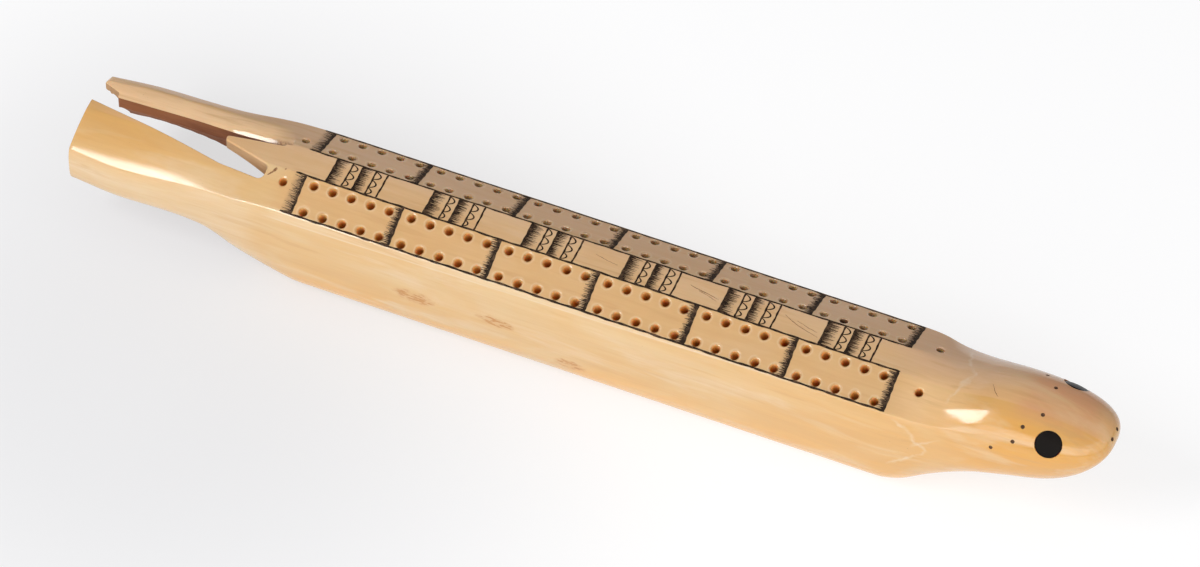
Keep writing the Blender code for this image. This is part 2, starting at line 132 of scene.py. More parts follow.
# Skin over stacks of rings[piece, row, column] with closed columns, and one flat face over
# the first and the last row of every piece. The signed volume of a stack's first piece says
# whether its faces have to be turned. bands gives each stack's rows their materials.
def ringMesh(name, stacks, *materials, bands=((0,),)):
    points, faces, numbers = [], [], []
    for rings, band in zip(stacks, bands):
        rings = rings[None] if rings.ndim == 3 else rings
        pieces, rows, columns, _ = rings.shape
        index = len(points) + np.arange(pieces * rows * columns).reshape(pieces, rows, columns)
        after = np.roll(index, -1, axis=2)
        quads = np.stack([index[:, :-1], index[:, 1:], after[:, 1:], after[:, :-1]], -1).reshape(-1, 4)
        first = rings[0]
        turned = np.roll(first, -1, axis=1)
        volume = 0
        for a, b, c in ((first[:-1], first[1:], turned[1:]), (first[:-1], turned[1:], turned[:-1])):
            volume += np.einsum("ijk,ijk->", a, np.cross(b, c))
        for row, sign in ((0, 1), (-1, -1)):
            fan = np.cross(first[row, 1:-1], first[row, 2:])
            volume += sign * (fan @ first[row, 0]).sum()
        way = 1 if volume > 0 else -1
        for group in (quads, index[:, 0], index[:, -1, ::-1]):
            faces += group[:, ::way].tolist()
        points += rings.reshape(-1, 3).tolist()
        byRow = np.broadcast_to(np.array(band)[:, None], (pieces, rows - 1, columns)).ravel()
        numbers += [byRow, np.full(2 * pieces, band[0])]
    mesh = bpy.data.meshes.new(name)
    mesh.from_pydata(points, [], faces)
    for material in materials:
        mesh.materials.append(material)
    mesh.polygons.foreach_set("material_index", np.concatenate(numbers))
    mesh.polygons.foreach_set("use_smooth", [True] * len(faces))
    mesh.update()
    return newThing(name, mesh)


# Turned shapes: profile rows of (radius, height) about an axis through each point
def turnedRings(points, axes, profile, sides):
    points = np.atleast_2d(points)
    axes = unit(np.atleast_2d(axes))
    sideways = unit(np.cross(axes, (1.0, 0.0, 0.0)))
    upward = np.cross(axes, sideways)
    radius, height = np.array(profile, float).T
    turn = np.linspace(0, 2 * pi, sides, endpoint=False)
    around = np.cos(turn)[:, None] * sideways[:, None] + np.sin(turn)[:, None] * upward[:, None]
    return [points[:, None, None] + height[:, None, None] * axes[:, None, None]
            + radius[:, None, None] * around[:, None]]


# Shader helpers

# Gives a socket a number, a direction or a colour of its own, or links a value to it
def feed(socket, value):
    if isinstance(value, Signal):
        value = value.socket
    if isinstance(value, bpy.types.NodeSocket):
        socket.id_data.links.new(value, socket)
    elif socket.type == "RGBA":
        socket.default_value = (*value, 1.0)
    else:
        socket.default_value = value


# Feeds each socket the value that bears its label
def feedAll(sockets, **values):
    for label, value in values.items():
        feed(sockets[label], value)


# A number inside a node tree: arithmetic on it adds a Math node that does the same
class Signal:
    def __init__(self, socket):
        self.socket = socket

    # The Math node of that name on this value and, where it takes two, on another
    def through(self, operation, other=None):
        node = self.socket.id_data.nodes.new("ShaderNodeMath")
        node.operation = operation
        feed(node.inputs[0], self)
        if other is not None:
            feed(node.inputs[1], other)
        return Signal(node.outputs[0])

    def __add__(self, other):
        return self.through("ADD", other)

    def __sub__(self, other):
        return self.through("SUBTRACT", other)

    def __mul__(self, other):
        return self.through("MULTIPLY", other)

    def __truediv__(self, other):
        return self.through("DIVIDE", other)

    def __abs__(self):
        return self.through("ABSOLUTE")

    # Keeps the sum or product that made this value between 0 and 1
    def clamped(self):
        self.socket.node.use_clamp = True
        return self

    # Smooth step from least at low to most at high
    def rise(self, low, high, least=0.0, most=1.0, kind="SMOOTHSTEP"):
        node = self.socket.id_data.nodes.new("ShaderNodeMapRange")
        node.interpolation_type = kind
        feedAll(node.inputs, **{"Value": self, "From Min": low, "From Max": high,
                                "To Min": least, "To Max": most})
        return Signal(node.outputs["Result"])

    # Smooth step from 1 at low to 0 at high
    def fall(self, low, high):
        return self.rise(low, high, 1.0, 0.0)

    # Straight line from least at low to most at high, flat outside them
    def ramp(self, low, high, least, most):
        return self.rise(low, high, least, most, "LINEAR")

    # 1 between low and high, fading over twice the softness at both ends
    def band(self, low, high, soft):
        return self.rise(low - soft, low + soft) * self.fall(high - soft, high + soft)


# The vector's x, y and z
def axesOf(vector):
    node = vector.id_data.nodes.new("ShaderNodeSeparateXYZ")
    feed(node.inputs[0], vector)
    return [Signal(output) for output in node.outputs]


# Colour a where the factor is 0, b where it is 1
def mixColour(factor, a, b):
    node = factor.socket.id_data.nodes.new("ShaderNodeMix")
    node.data_type = "RGBA"
    for number, value in ((0, factor), (6, a), (7, b)):
        feed(node.inputs[number], value)
    return node.outputs[2]


# Cloudy noise about 0.5, with scale details to the metre
def noiseIn(vector, scale, detail=3.0, roughness=0.55, distortion=0.0):
    node = vector.id_data.nodes.new("ShaderNodeTexNoise")
    feedAll(node.inputs, Vector=vector, Scale=scale, Detail=detail, Roughness=roughness,
            Distortion=distortion)
    return Signal(node.outputs["Fac"])


# The vector scaled on each axis, turned and moved
def stretched(vector, scale, offset=(0.0, 0.0, 0.0), turn=(0.0, 0.0, 0.0)):
    node = vector.id_data.nodes.new("ShaderNodeMapping")
    feedAll(node.inputs, Vector=vector, Scale=scale, Location=offset, Rotation=turn)
    return node.outputs["Vector"]


# New node group with a vector and some numbers going in; gives these as values
def newGroup(name, **numbers):
    tree = bpy.data.node_groups.new(name, "ShaderNodeTree")
    tree.interface.new_socket("Vector", in_out="INPUT", socket_type="NodeSocketVector")
    for label, value in numbers.items():
        socket = tree.interface.new_socket(label, in_out="INPUT", socket_type="NodeSocketFloat")
        socket.default_value = value
    start = tree.nodes.new("NodeGroupInput").outputs
    return [start["Vector"]] + [Signal(start[label]) for label in numbers]


# Ends the vector's group with the named numbers coming out
def endGroup(vector, **results):
    tree = vector.id_data
    for label in results:
        tree.interface.new_socket(label, in_out="OUTPUT", socket_type="NodeSocketFloat")
    feedAll(tree.nodes.new("NodeGroupOutput").inputs, **results)
    return tree


# A node of the group with its own values; gives what comes out, by name
def placeGroup(group, vector, **values):
    node = vector.id_data.nodes.new("ShaderNodeGroup")
    node.node_tree = group
    feedAll(node.inputs, Vector=vector, **values)
    return {output.name: Signal(output) for output in node.outputs}


# Growth grain of the tusk: noise drawn out along the board, 0 to 1, and its height
def makeGrainGroup():
    vector, fineness = newGroup("ivoryGrain", Fineness=1.0)
    node = vector.id_data.nodes.new("ShaderNodeVectorMath")
    node.operation = "SCALE"
    feed(node.inputs[0], vector)
    feed(node.inputs["Scale"], fineness)
    scaled = node.outputs[0]
    broad = noiseIn(stretched(scaled, (0.10, 1.0, 1.0)), 260.0, 4.0, 0.6, 0.3)
    fine = noiseIn(stretched(scaled, (0.05, 1.0, 1.0), (0.3, 0.1, 0.2)), 1500.0, 3.0, 0.6)
    return endGroup(vector, Grain=(broad * 0.6 + fine * 0.4).rise(0.36, 0.64), Height=fine)


# Soft clouds drawn out along the tusk, paler blush in them, and thin streaks
def makeCloudGroup():
    vector, = newGroup("ivoryClouds")
    clouds = noiseIn(stretched(vector, (0.28, 1.0, 1.0)), 85.0, 4.0, 0.55, 0.9)
    blush = noiseIn(stretched(vector, (0.22, 1.0, 1.0), (5.0, 2.0, 1.0)), 120.0, 4.0, 0.55, 0.7)
    streaks = noiseIn(stretched(vector, (0.06, 1.0, 1.0), (2.0, 3.0, 4.0)), 420.0, 4.0, 0.6, 0.4)
    return endGroup(vector, Clouds=clouds.rise(0.36, 0.64), Blush=blush.rise(0.50, 0.68),
                    Streaks=streaks.rise(0.56, 0.70))


# A pale winding vein: a line of x that leans away from an apex on both sides of a middle,
# apex - lean |s - middle| + a swing, where s is y or z, blurred along its way by noise
def makeVeinGroup():
    vector, way, apex, middle, lean, reach = newGroup(
        "ivoryVein", Way=0.0, Apex=0.1, Middle=0.0, Lean=1.0, Reach=0.008)
    off = abs(way - middle)
    swing = (way * 700.0).through("SINE") * 0.0004 + (noiseIn(vector, 170.0) - 0.5) * 0.0075
    away = abs(axesOf(vector)[0] - (apex - off * lean + swing)) + noiseIn(vector, 380.0) * 0.0012
    broken = noiseIn(vector, 260.0).rise(0.34, 0.56, 0.25, 1.0)
    return endGroup(vector, Vein=away.fall(0.0005, 0.0017) * (off / reach).fall(0.75, 1.0) * broken)


# A rubbed patch: short slanting brown scratches inside an oval of x and z
def makePatchGroup():
    vector, along, height, length, tall = newGroup(
        "rubbedPatch", Along=0.0, Height=0.0, Length=0.005, Tall=0.002)
    x, y, z = axesOf(vector)
    dx, dz = (x - along) / length, (z - height) / tall
    oval = (dx * dx + dz * dz + noiseIn(vector, 500.0) * 1.4).fall(0.9, 1.7) * y.fall(-0.012, -0.010)
    slanting = noiseIn(stretched(vector, (0.25, 1.0, 1.0), turn=(0.0, 0.6, 0.0)), 1500.0, 3.0, 0.6)
    return endGroup(vector, Patch=oval * slanting.rise(0.44, 0.58, 0.22, 1.0))


# Stain round the peg holes: distance to the nearest of the five places along a section and
# of the two rows on a panel; a stain at the mouth and a paler rim outside it, partly rubbed wear and partly a
# painted highlight on the worn edge
def makeHoleStainGroup():
    length = bodyShape["sectionLength"]
    vector, = newGroup("holeStain")
    x, y, z = axesOf(vector)
    along = ((x + halfBoard) / length).through("FRACT") * length - cutSizes["holeEndMargin"]
    dx = ((along / holeSpacing + 0.5).through("FRACT") - 0.5) * holeSpacing
    inner, outer = [abs(abs(y) - row) for row in holeRows]
    dy = inner.through("MINIMUM", outer) / cos(bodyShape["panelSlope"])
    away = (dx * dx + dy * dy).through("SQRT") + (noiseIn(vector, 420.0, 2.0) - 0.5) * 0.0010
    onBoard = abs(x).fall(halfBoard - 0.0005, halfBoard) * z.rise(*topStep)
    return endGroup(vector, Stain=onBoard * away.fall(0.0010, 0.0017),
                    Rim=onBoard * away.band(0.0014, 0.0018, 0.00025))


# Handling wear: hair scratches in two directions, specks of dirt, and uneven polish
def makeWearGroup():
    vector, amount = newGroup("handlingWear", Amount=1.0)
    lengthwise = noiseIn(stretched(vector, (0.04, 1.0, 1.0), (0.5, 0.0, 0.0), (0.0, 0.0, 0.12)), 2600.0, 2.0)
    crosswise = noiseIn(stretched(vector, (1.0, 0.05, 0.3), (0.1, 0.7, 0.0), (0.0, 0.1, 0.5)), 2100.0, 2.0)
    scratches = lengthwise.rise(0.68, 0.78).through("MAXIMUM", crosswise.rise(0.71, 0.80))
    specks = noiseIn(vector, 1500.0, 2.0, 0.7).rise(0.69, 0.78)
    where = noiseIn(stretched(vector, (0.4, 1.0, 1.0), (2.2, 0.6, 1.1)), 70.0).rise(0.57, 0.72)
    polish = noiseIn(stretched(vector, (0.5, 1.0, 1.0), (0.9, 3.1, 0.2)), 120.0, 4.0)
    return endGroup(vector, Scratches=scratches * amount, Dirt=specks * where, Polish=polish)


# Ink rubbed into the skin beside the worked lines: u runs 0 to 1 along each section of the
# board, and a smudge rises at a line and fades away from it, on the strip or on the panels
def makeSmudgeGroup():
    length = bodyShape["sectionLength"]
    vector, = newGroup("inkSmudges")
    x, y, z = axesOf(vector)
    y = abs(y)
    u = ((x + halfBoard) / length).through("FRACT")
    onBoard = abs(x).fall(halfBoard - 0.0001, halfBoard + 0.0001)
    onStrip = onBoard * y.fall(halfStrip - 0.0001, halfStrip)
    onPanel = y.band(halfStrip + 0.0001, halfRoof - 0.0002, 0.0001)
    bands = []
    for line, reach in ((0, 0.0040), (2, 0.0034)):
        low, high = inkLook["crossLines"][line] / length, (inkLook["crossLines"][line] + reach) / length
        bands.append(u.rise(low - 0.004, low) * u.fall(low, high) * onStrip)
    divider = u.rise(0.905, 0.99) * onBoard * onPanel
    beyond = x.rise(-halfBoard - 0.0036, -halfBoard - 0.0008)
    outer = beyond * x.fall(-halfBoard, -halfBoard + 0.0002) * onPanel
    patchy = noiseIn(vector, 900.0, 3.0, 0.6).rise(0.3, 0.65, 0.45, 1.0)
    total = bands[0] + bands[1] + (divider * 0.8 + outer)
    return endGroup(vector, Smudge=(total * patchy * z.rise(*topStep)).clamped())


# New material with its shader's inputs and the object's own coordinates
def startMaterial(name, roughness, specular):
    material = bpy.data.materials.new(name)
    material.use_nodes = True
    tree = material.node_tree
    shader = tree.nodes["Principled BSDF"].inputs
    feedAll(shader, **{"Roughness": roughness, "Specular IOR Level": specular})
    return material, shader, tree.nodes.new("ShaderNodeTexCoord").outputs["Object"]


# Colour, roughness and a bump out of the height
def dress(shader, colour, rough, height, strength, distance):
    bump = rough.socket.id_data.nodes.new("ShaderNodeBump")
    feedAll(bump.inputs, Strength=strength, Distance=distance, Height=height)
    feedAll(shader, **{"Base Color": colour, "Roughness": rough, "Normal": bump.outputs["Normal"]})


# Light that soaks into the ivory, by its share, how far each colour goes, and the distance
def soak(shader, share, radius, distance):
    feedAll(shader, **{"Subsurface Weight": share, "Subsurface Radius": radius, "Subsurface Scale": distance})


# Ivory finishes

ivoryLook = {
    "cream": (0.70, 0.490, 0.258), "honey": (0.68, 0.410, 0.160), "amber": (0.70, 0.350, 0.075),
    "paleCloud": (0.76, 0.590, 0.390), "farShadeRose": (0.68, 0.435, 0.290), "flush": (0.66, 0.300, 0.150),
    "grainLine": (0.56, 0.310, 0.120), "dirt": (0.16, 0.080, 0.035), "vein": (0.78, 0.640, 0.460),
    "rubbed": (0.50, 0.225, 0.060), "smudge": (0.165, 0.105, 0.066), "farStain": (0.34, 0.200, 0.095),
    "stripTan": (0.81, 0.485, 0.280), "neckLitTan": (0.86, 0.540, 0.270), "handled": (0.66, 0.385, 0.165),
    "pared": (0.95, 0.640, 0.380), "lowGlow": (0.84, 0.440, 0.115),
    # browns of the slot's wall and the hollow: stain, darkened as painted shade of these recesses
    "wallLight": (0.40, 0.150, 0.052), "wallDark": (0.20, 0.065, 0.022),
    # way, apex, middle, lean, reach and near side only; then along, height, length and tallness
    "veins": ((1, 0.1023, 0.002, 0.45, 0.011, False), (2, 0.0965, 0.0225, 1.1, 0.010, True),
              (2, 0.1030, 0.0310, 1.3, 0.009, True)),
    "patches": ((-0.0475, 0.0175, 0.0070, 0.0026), (-0.0245, 0.0183, 0.0062, 0.0022),
                (-0.0035, 0.0100, 0.0052, 0.0024)),
}


# The skin: cream warmed to honey, then one tint after another, each over those before it
# by its strength times its mask
def makePolishedIvory():
    look = ivoryLook
    material, shader, place = startMaterial("polishedIvory", 0.2, 0.65)
    grain, wear = placeGroup(grainGroup, place, Fineness=1.0), placeGroup(wearGroup, place, Amount=1.0)
    holes, smudges = placeGroup(holeStainGroup, place), placeGroup(smudgeGroup, place)
    clouds, blush, streaks = placeGroup(cloudGroup, place).values()
    axes = axesOf(place)
    x, y, z = axes
    onBoard, onTail = abs(x).fall(0.086, 0.094), x.rise(-0.092, -0.100)
    head, tail = x.rise(0.085, 0.115), x.rise(-0.090, -0.130)
    nearSide = y.fall(-0.0155, -0.0145)
    left = onTail * y.rise(0.0095, 0.0120) + x.rise(-0.100, -0.092) * y.rise(0.0, 0.008)
    brow = x.band(0.117, 0.137, 0.004) * y.band(-0.006, 0.010, 0.003) * z.rise(0.033, 0.036)
    facet = z - (x * 0.018 + 0.0317)
    edge = onBoard * y.fall(-0.0147, -0.0143)
    tints = [
        ("lowGlow", 0.75, z.fall(0.004, 0.016) * clouds),
        ("amber", 0.95, head * y.rise(0.004, -0.012)),
        ("amber", 0.45, x.rise(0.120, 0.138)),
        ("amber", 0.50, nearSide * x.rise(0.02, 0.09)),
        ("paleCloud", 0.40, nearSide * onTail),
        ("amber", 0.50, tail * z.rise(0.027, 0.034)),
        ("paleCloud", 0.42, blush),
        # the right panel is browner from handling, the pared lip paler
        ("handled", 0.70, onBoard * y.band(-0.0147, -0.0043, 0.0003) * z.rise(0.0310, 0.0315)),
        ("pared", 0.80, onTail * y.band(0.0030, 0.0100, 0.0008) * z.rise(0.026, 0.028)),
        ("stripTan", 0.40, y.band(-0.0043, 0.0043, 0.0003) * z.rise(0.0350, 0.0355)),
        # the left side of the tusk is pinker, most of all over the neck: painted shade and reflection on the
        # side that faces away from the lamps
        ("farShadeRose", 0.75, left),
        # painted light: the top of the neck's right side is lightened to the tone of the side below it
        ("neckLitTan", 0.45, x.band(0.087, 0.104, 0.004) * y.rise(0.002, -0.006) * z.rise(0.030, 0.033)),
        # painted shade, as on the left side, over the neck
        ("farShadeRose", 0.45, x.band(0.084, 0.112, 0.006) * y.rise(-0.005, 0.003)),
        ("flush", 0.75, brow * clouds),
        # painted highlight: a pale band under the near border, where the light catches the edge, with the
        # bright thin line of its facet
        ("paleCloud", 0.45, edge * facet.rise(-0.0002, 0.0002)),
        ("vein", 0.55, edge * facet.band(-0.00015, 0.00015, 0.0002)),
        ("paleCloud", 0.50, nearSide * z.band(0.0105, 0.0135, 0.002) * blush),
        ("grainLine", 0.24, grain["Grain"]),
        ("grainLine", 0.34, streaks),
    ]
    for way, apex, middle, lean, reach, oneSide in look["veins"]:
        vein = placeGroup(veinGroup, place, Way=axes[way], Apex=apex, Middle=middle, Lean=lean, Reach=reach)
        tints.append(("vein", 0.42, vein["Vein"] * (nearSide if oneSide else 1.0)))
    for along, height, length, tall in look["patches"]:
        patch = placeGroup(patchGroup, place, Along=along, Height=height, Length=length, Tall=tall)
        tints.append(("rubbed", 0.95, patch["Patch"]))
    # brown stain at the bottom of the lip, by the left flipper's root, darkened further there as painted
    # shade of the recess
    root = x.band(-0.0985, -0.0925, 0.0012) * y.band(0.0042, 0.0052, 0.0007)
    tints += [
        ("wallDark", 0.80, root * noiseIn(place, 1800.0, 4.0, 0.6).rise(0.40, 0.60, 0.35, 1.0)),
        # pale rims round the holes: rubbed wear, with a painted highlight
        ("paleCloud", 0.35, holes["Rim"]),
        (mixColour(left, look["rubbed"], look["farStain"]), 0.45, holes["Stain"]),
        ("dirt", 0.60, wear["Dirt"]),
        ("smudge", 0.74, smudges["Smudge"]),
    ]
    warmth = z.fall(0.008, 0.026) * 0.30 + head * 0.35 + tail * 0.20 + clouds * 0.60
    colour = mixColour(warmth.clamped(), look["cream"], look["honey"])
    for tint, strength, mask in tints:
        colour = mixColour(mask * strength, colour, look[tint] if isinstance(tint, str) else tint)
    rough = wear["Polish"].ramp(0.3, 0.7, 0.07, 0.17) + wear["Scratches"] * 0.10
    soak(shader, 0.12, (1.0, 0.45, 0.18), 0.0016)
    dress(shader, colour, rough, grain["Height"] * 0.4 + wear["Scratches"] * -0.6, 0.12, 0.0002)
    return material


# Cut ivory below the skin: browner with depth of handling, matte, with tool chatter. In the shaded recesses,
# the slot's wall and the hollow, the brown is partly painted shade.
def makeCutIvory(name, light, dark, roughness, chatter, stainedAndShaded=False, glow=0.0, leftSide=None):
    look = ivoryLook
    material, shader, place = startMaterial(name, roughness, 0.2)
    grain, wear = placeGroup(grainGroup, place, Fineness=1.6), placeGroup(wearGroup, place, Amount=1.0)
    x, y, _ = axesOf(place)
    mottled = grain["Grain"] * 0.6 + placeGroup(cloudGroup, place)["Clouds"] * 0.4
    colour = mixColour(mottled, light, dark)
    # painted shade with the stain: the left flipper's wall is darkened, most of all towards the slot's closed
    # end
    if stainedAndShaded:  # the wall of the left flipper is as brown as the hollow below it
        wall = y.rise(0.0030, 0.0038) * x.rise(-0.1436, -0.1428)
        deeperShade = mottled * 0.5 + x.rise(-0.140, -0.110, 0.0, 0.6)
        colour = mixColour(wall, colour, mixColour(deeperShade.clamped(), look["wallLight"], look["wallDark"]))
    if leftSide:  # duller bores on the left, and one of them plugged with dirt
        colour = mixColour(y.rise(-0.001, 0.001), colour, mixColour(mottled, *leftSide))
        plugged = x.band(0.0628, 0.0663, 0.0002) * y.band(0.0045, 0.0085, 0.0002)
        colour = mixColour(plugged, colour, look["dirt"])
    if glow:  # light that soaks through the ivory around a narrow bore
        soak(shader, glow, (1.0, 0.4, 0.15), 0.002)
    colour = mixColour(wear["Dirt"] * 0.7, colour, look["dirt"])
    rough = wear["Polish"].ramp(0.3, 0.7, roughness - 0.08, roughness + 0.12)
    dress(shader, colour, rough, noiseIn(stretched(place, (0.3, 1.0, 1.0)), 900.0), chatter, 0.0003)
    return material


grainGroup = makeGrainGroup()
smudgeGroup = makeSmudgeGroup()
cloudGroup = makeCloudGroup()
wearGroup = makeWearGroup()
veinGroup = makeVeinGroup()
patchGroup = makePatchGroup()
holeStainGroup = makeHoleStainGroup()

polishedIvory = makePolishedIvory()
sawnIvory = makeCutIvory("sawnIvory", (0.60, 0.38, 0.20), (0.46, 0.26, 0.12), 0.45, 0.35, stainedAndShaded=True)
# the hollow's brown is partly painted shade of the recess
hollowIvory = makeCutIvory("hollowIvory", ivoryLook["wallLight"], ivoryLook["wallDark"], 0.6, 0.5)
boreIvory = makeCutIvory("boreIvory", (0.92, 0.54, 0.20), (0.80, 0.41, 0.12), 0.7, 0.3, glow=0.6,
                         leftSide=((0.50, 0.30, 0.14), (0.36, 0.20, 0.09)))
brokenIvory = makeCutIvory("brokenIvory", (0.62, 0.42, 0.25), (0.48, 0.28, 0.14), 0.6, 0.8)
pitBrown = makeCutIvory("pitBrown", (0.24, 0.135, 0.08), (0.10, 0.055, 0.034), 0.6, 0.4)
print("ivory finishes made")


# The carved body

# Guide lines of the carved ends: a place as a share of the head's or the tail's length,
# and a value there as a share of the board's own size
headGuides = {
    "rise": ((0, 0), (0.07, 0), (0.2, -0.008), (0.33, 0.025), (0.46, 0.075), (0.6, 0.09), (1, 0.045)),
    "width": ((0, 1), (0.07, 0.97), (0.2, 0.91), (0.33, 0.885), (0.46, 0.868), (0.6, 0.83), (1, 0.79)),
    "side": ((0, 0.63), (0.2, 0.676), (0.6, 0.755), (1, 0.862)),
    "belly": ((0, 0), (0.07, 0.012), (0.2, 0.12), (0.33, 0.22), (0.46, 0.313), (0.6, 0.347), (1, 0.32)),
    "roof": ((0, 1), (0.05, 1), (0.2, 0.58), (0.33, 0.2), (0.46, 0.02), (0.6, 0), (1, 0)),
    "strip": ((0, 1), (1, 1)),
    "drop": ((0, 1), (1, 1)),
    "square": ((0, 1), (0.2, 0.75), (0.33, 0.62), (0.6, 0.55), (1, 0.5)),
    "lean": ((0, 0), (1, 0)),
    "tilt": ((0, 0), (1, 0)),
}
tailGuides = {
    "rise": ((0, 0), (0.12, 0), (1, -0.05)),
    "width": ((0, 1), (0.12, 0.968), (0.25, 0.944), (0.42, 0.91), (0.75, 0.95), (1, 0.865)),
    "side": ((0, 0.63), (0.42, 0.707), (1, 0.70)),
    "belly": ((0, 0), (0.12, 0.082), (0.25, 0.205), (0.42, 0.425), (0.6, 0.515), (1, 0.545)),
    "roof": ((0, 1), (0.15, 1), (0.42, 0.75), (0.72, 0.6), (1, 0.6)),
    "strip": ((0, 1), (0.12, 1), (0.42, 0.5), (1, 0.47)),
    "drop": ((0, 1), (0.42, 1.09), (0.72, 1), (1, 0.85)),
    "square": ((0, 1), (0.25, 1.16), (1, 1.16)),
    "lean": ((0, 0), (0.12, -0.01), (0.3, -0.055), (1, -0.154)),
    "tilt": ((0, 0), (0.2, 0.02), (0.6, 0.20), (1, 0.20)),
}


# Cubic through the pairs whose slope at each is the harmonic mean of its neighbours'
def followLine(line, place):
    places, values = np.array(line, float).T
    steps = np.diff(places)
    slopes = np.diff(values) / steps
    tangents = np.concatenate([slopes[:1], np.zeros(len(slopes) - 1), slopes[-1:]])
    before, after = slopes[:-1], slopes[1:]
    same = before * after > 0
    heavy = 2 * steps[1:] + steps[:-1]
    light = steps[1:] + 2 * steps[:-1]
    weighed = heavy / np.where(same, before, 1) + light / np.where(same, after, 1)
    tangents[1:-1] = np.where(same, (heavy + light) / np.where(same, weighed, 1), 0)
    place = np.clip(place, places[0], places[-1])
    i = np.clip(np.searchsorted(places, place, side="right") - 1, 0, len(steps) - 1)
    t = (place - places[i]) / steps[i]
    return ((1 + 2 * t) * (1 - t) ** 2 * values[i] + t * (1 - t) ** 2 * steps[i] * tangents[i]
            + t * t * (3 - 2 * t) * values[i + 1] + t * t * (t - 1) * steps[i] * tangents[i + 1])


# Sizes of the section at every x: the guides, averaged along x, times the board's sizes.
# On the muzzle each is drawn to the nose by (1 - run^fullness)^power.
def sectionSizes(x):
    s = bodyShape
    x = np.asarray(x, float)
    share = {}
    for name in headGuides:
        share[name] = np.zeros_like(x)
        for step, weight in ((-2, 1), (-1, 2), (0, 3), (1, 2), (2, 1)):
            shifted = np.abs(x) + step * s["guideSmoothing"]
            onHead = followLine(headGuides[name], (shifted - halfBoard) / s["headLength"])
            onTail = followLine(tailGuides[name], (shifted - halfBoard) / s["tailLength"])
            share[name] += weight / 9 * np.where(x > 0, onHead, onTail)
    sizes = {
        "back": s["boardHeight"] * (1 + share["rise"]),
        "halfWidth": halfWidth * share["width"],
        "side": s["sideLine"] + s["boardHeight"] * (share["side"] - 0.63),
        "belly": s["boardHeight"] * share["belly"] - s["flattening"],
        "roof": share["roof"], "strip": share["strip"], "drop": share["drop"], "tilt": share["tilt"],
        "square": s["squareness"] * share["square"],
        "lean": halfWidth * share["lean"],
        "worn": np.clip((x - halfBoard - 0.001) / 0.011, 0, 1),
    }
    place = (x - halfBoard) / s["headLength"]
    run = np.clip((place - s["muzzleStart"]) / (1 - s["muzzleStart"]), 0, 1)
    closing = 1 - run ** s["fullness"]
    nose = s["noseHeight"]
    sizes["halfWidth"] = sizes["halfWidth"] * closing ** s["widthPower"]
    sizes["back"] = nose + (sizes["back"] - nose) * closing ** s["backPower"]
    sizes["belly"] = nose + (sizes["belly"] - nose) * closing ** s["chinPower"]
    sizes["side"] = nose + (sizes["side"] - nose) * (1 - run)
    return sizes


# Left upper quarter of every section: flat strip, worn edge (a quadratic curve), sloping
# panel, then a quarter ellipse to the widest line, mixed by roof with a round back
def upperQuarter(sizes):
    s = bodyShape
    scale = np.minimum(1, sizes["halfWidth"] / (halfWidth - s["sideBulge"] / 2))
    edge = halfRoof * scale
    strip = halfStrip * scale * sizes["strip"]
    fall = roofDrop * scale * sizes["drop"]
    length = np.hypot(edge - strip, fall)
    alongY, alongZ = (edge - strip) / length, -fall / length
    soft = s["ridgeRounding"] * (1 + s["neckWear"] * sizes["worn"]) * scale
    eave = sizes["back"] - fall
    y, z = [], []
    for share in np.arange(s["stripPoints"]) / s["stripPoints"]:
        y.append((strip - soft) * share)
        z.append(sizes["back"])
    for t in np.linspace(0, 1, s["edgePoints"]):
        y.append(strip + soft * (t * t * alongY - (1 - t) ** 2))
        z.append(sizes["back"] + soft * t * t * alongZ)
    for share in np.linspace(0, 1, s["panelPoints"] + 1)[1:]:
        reach = soft + (length - soft) * share
        y.append(strip + reach * alongY)
        z.append(sizes["back"] + reach * alongZ)
    for turn in np.linspace(0.1, 1, s["sidePoints"]) * pi / 2:
        y.append(edge + (sizes["halfWidth"] - edge) * sin(turn))
        z.append(eave - (eave - sizes["side"]) * (1 - cos(turn)))
    y, z = np.stack(y, 1), np.stack(z, 1)
    path = np.cumsum(np.hypot(np.diff(y, axis=1), np.diff(z, axis=1)), axis=1)
    around = np.concatenate([np.zeros((len(y), 1)), path / np.maximum(path[:, -1:], 1e-9)], axis=1)
    turn = around * pi / 2
    roof = sizes["roof"][:, None]
    roundY = sizes["halfWidth"][:, None] * np.sin(turn) ** 0.95
    roundZ = sizes["side"][:, None] + (sizes["back"] - sizes["side"])[:, None] * np.cos(turn)
    return around, roof * y + (1 - roof) * roundY, roof * z + (1 - roof) * roundZ


# Whole rings: the upper quarter, a superellipse below it, and the mirror image of both
def bodyRings(x):
    sizes = sectionSizes(x)
    _, y, z = upperQuarter(sizes)
    even = np.linspace(0, 1, bodyShape["lowerPoints"])[1:]
    turn = (even - 0.85 * np.sin(2 * pi * even) / (2 * pi)) * pi / 2
    power = (2 / sizes["square"])[:, None]
    side, belly = sizes["side"][:, None], sizes["belly"][:, None]
    lowY = sizes["halfWidth"][:, None] * np.maximum(np.cos(turn), 0) ** power
    lowZ = side + (belly - side) * np.sin(turn) ** power
    lowY[:, -1] = 0
    y, z = np.concatenate([y, lowY], 1), np.concatenate([z, lowZ], 1)
    y = np.concatenate([y, -y[:, -2:0:-1]], 1)
    z = np.concatenate([z, z[:, -2:0:-1]], 1)
    below = np.clip((side - z) / np.maximum(side - belly, 1e-9), 0, 1)
    z = z + sizes["tilt"][:, None] * y * below
    y = y + sizes["lean"][:, None]
    return np.stack([np.broadcast_to(x[:, None], y.shape), y, z], -1)


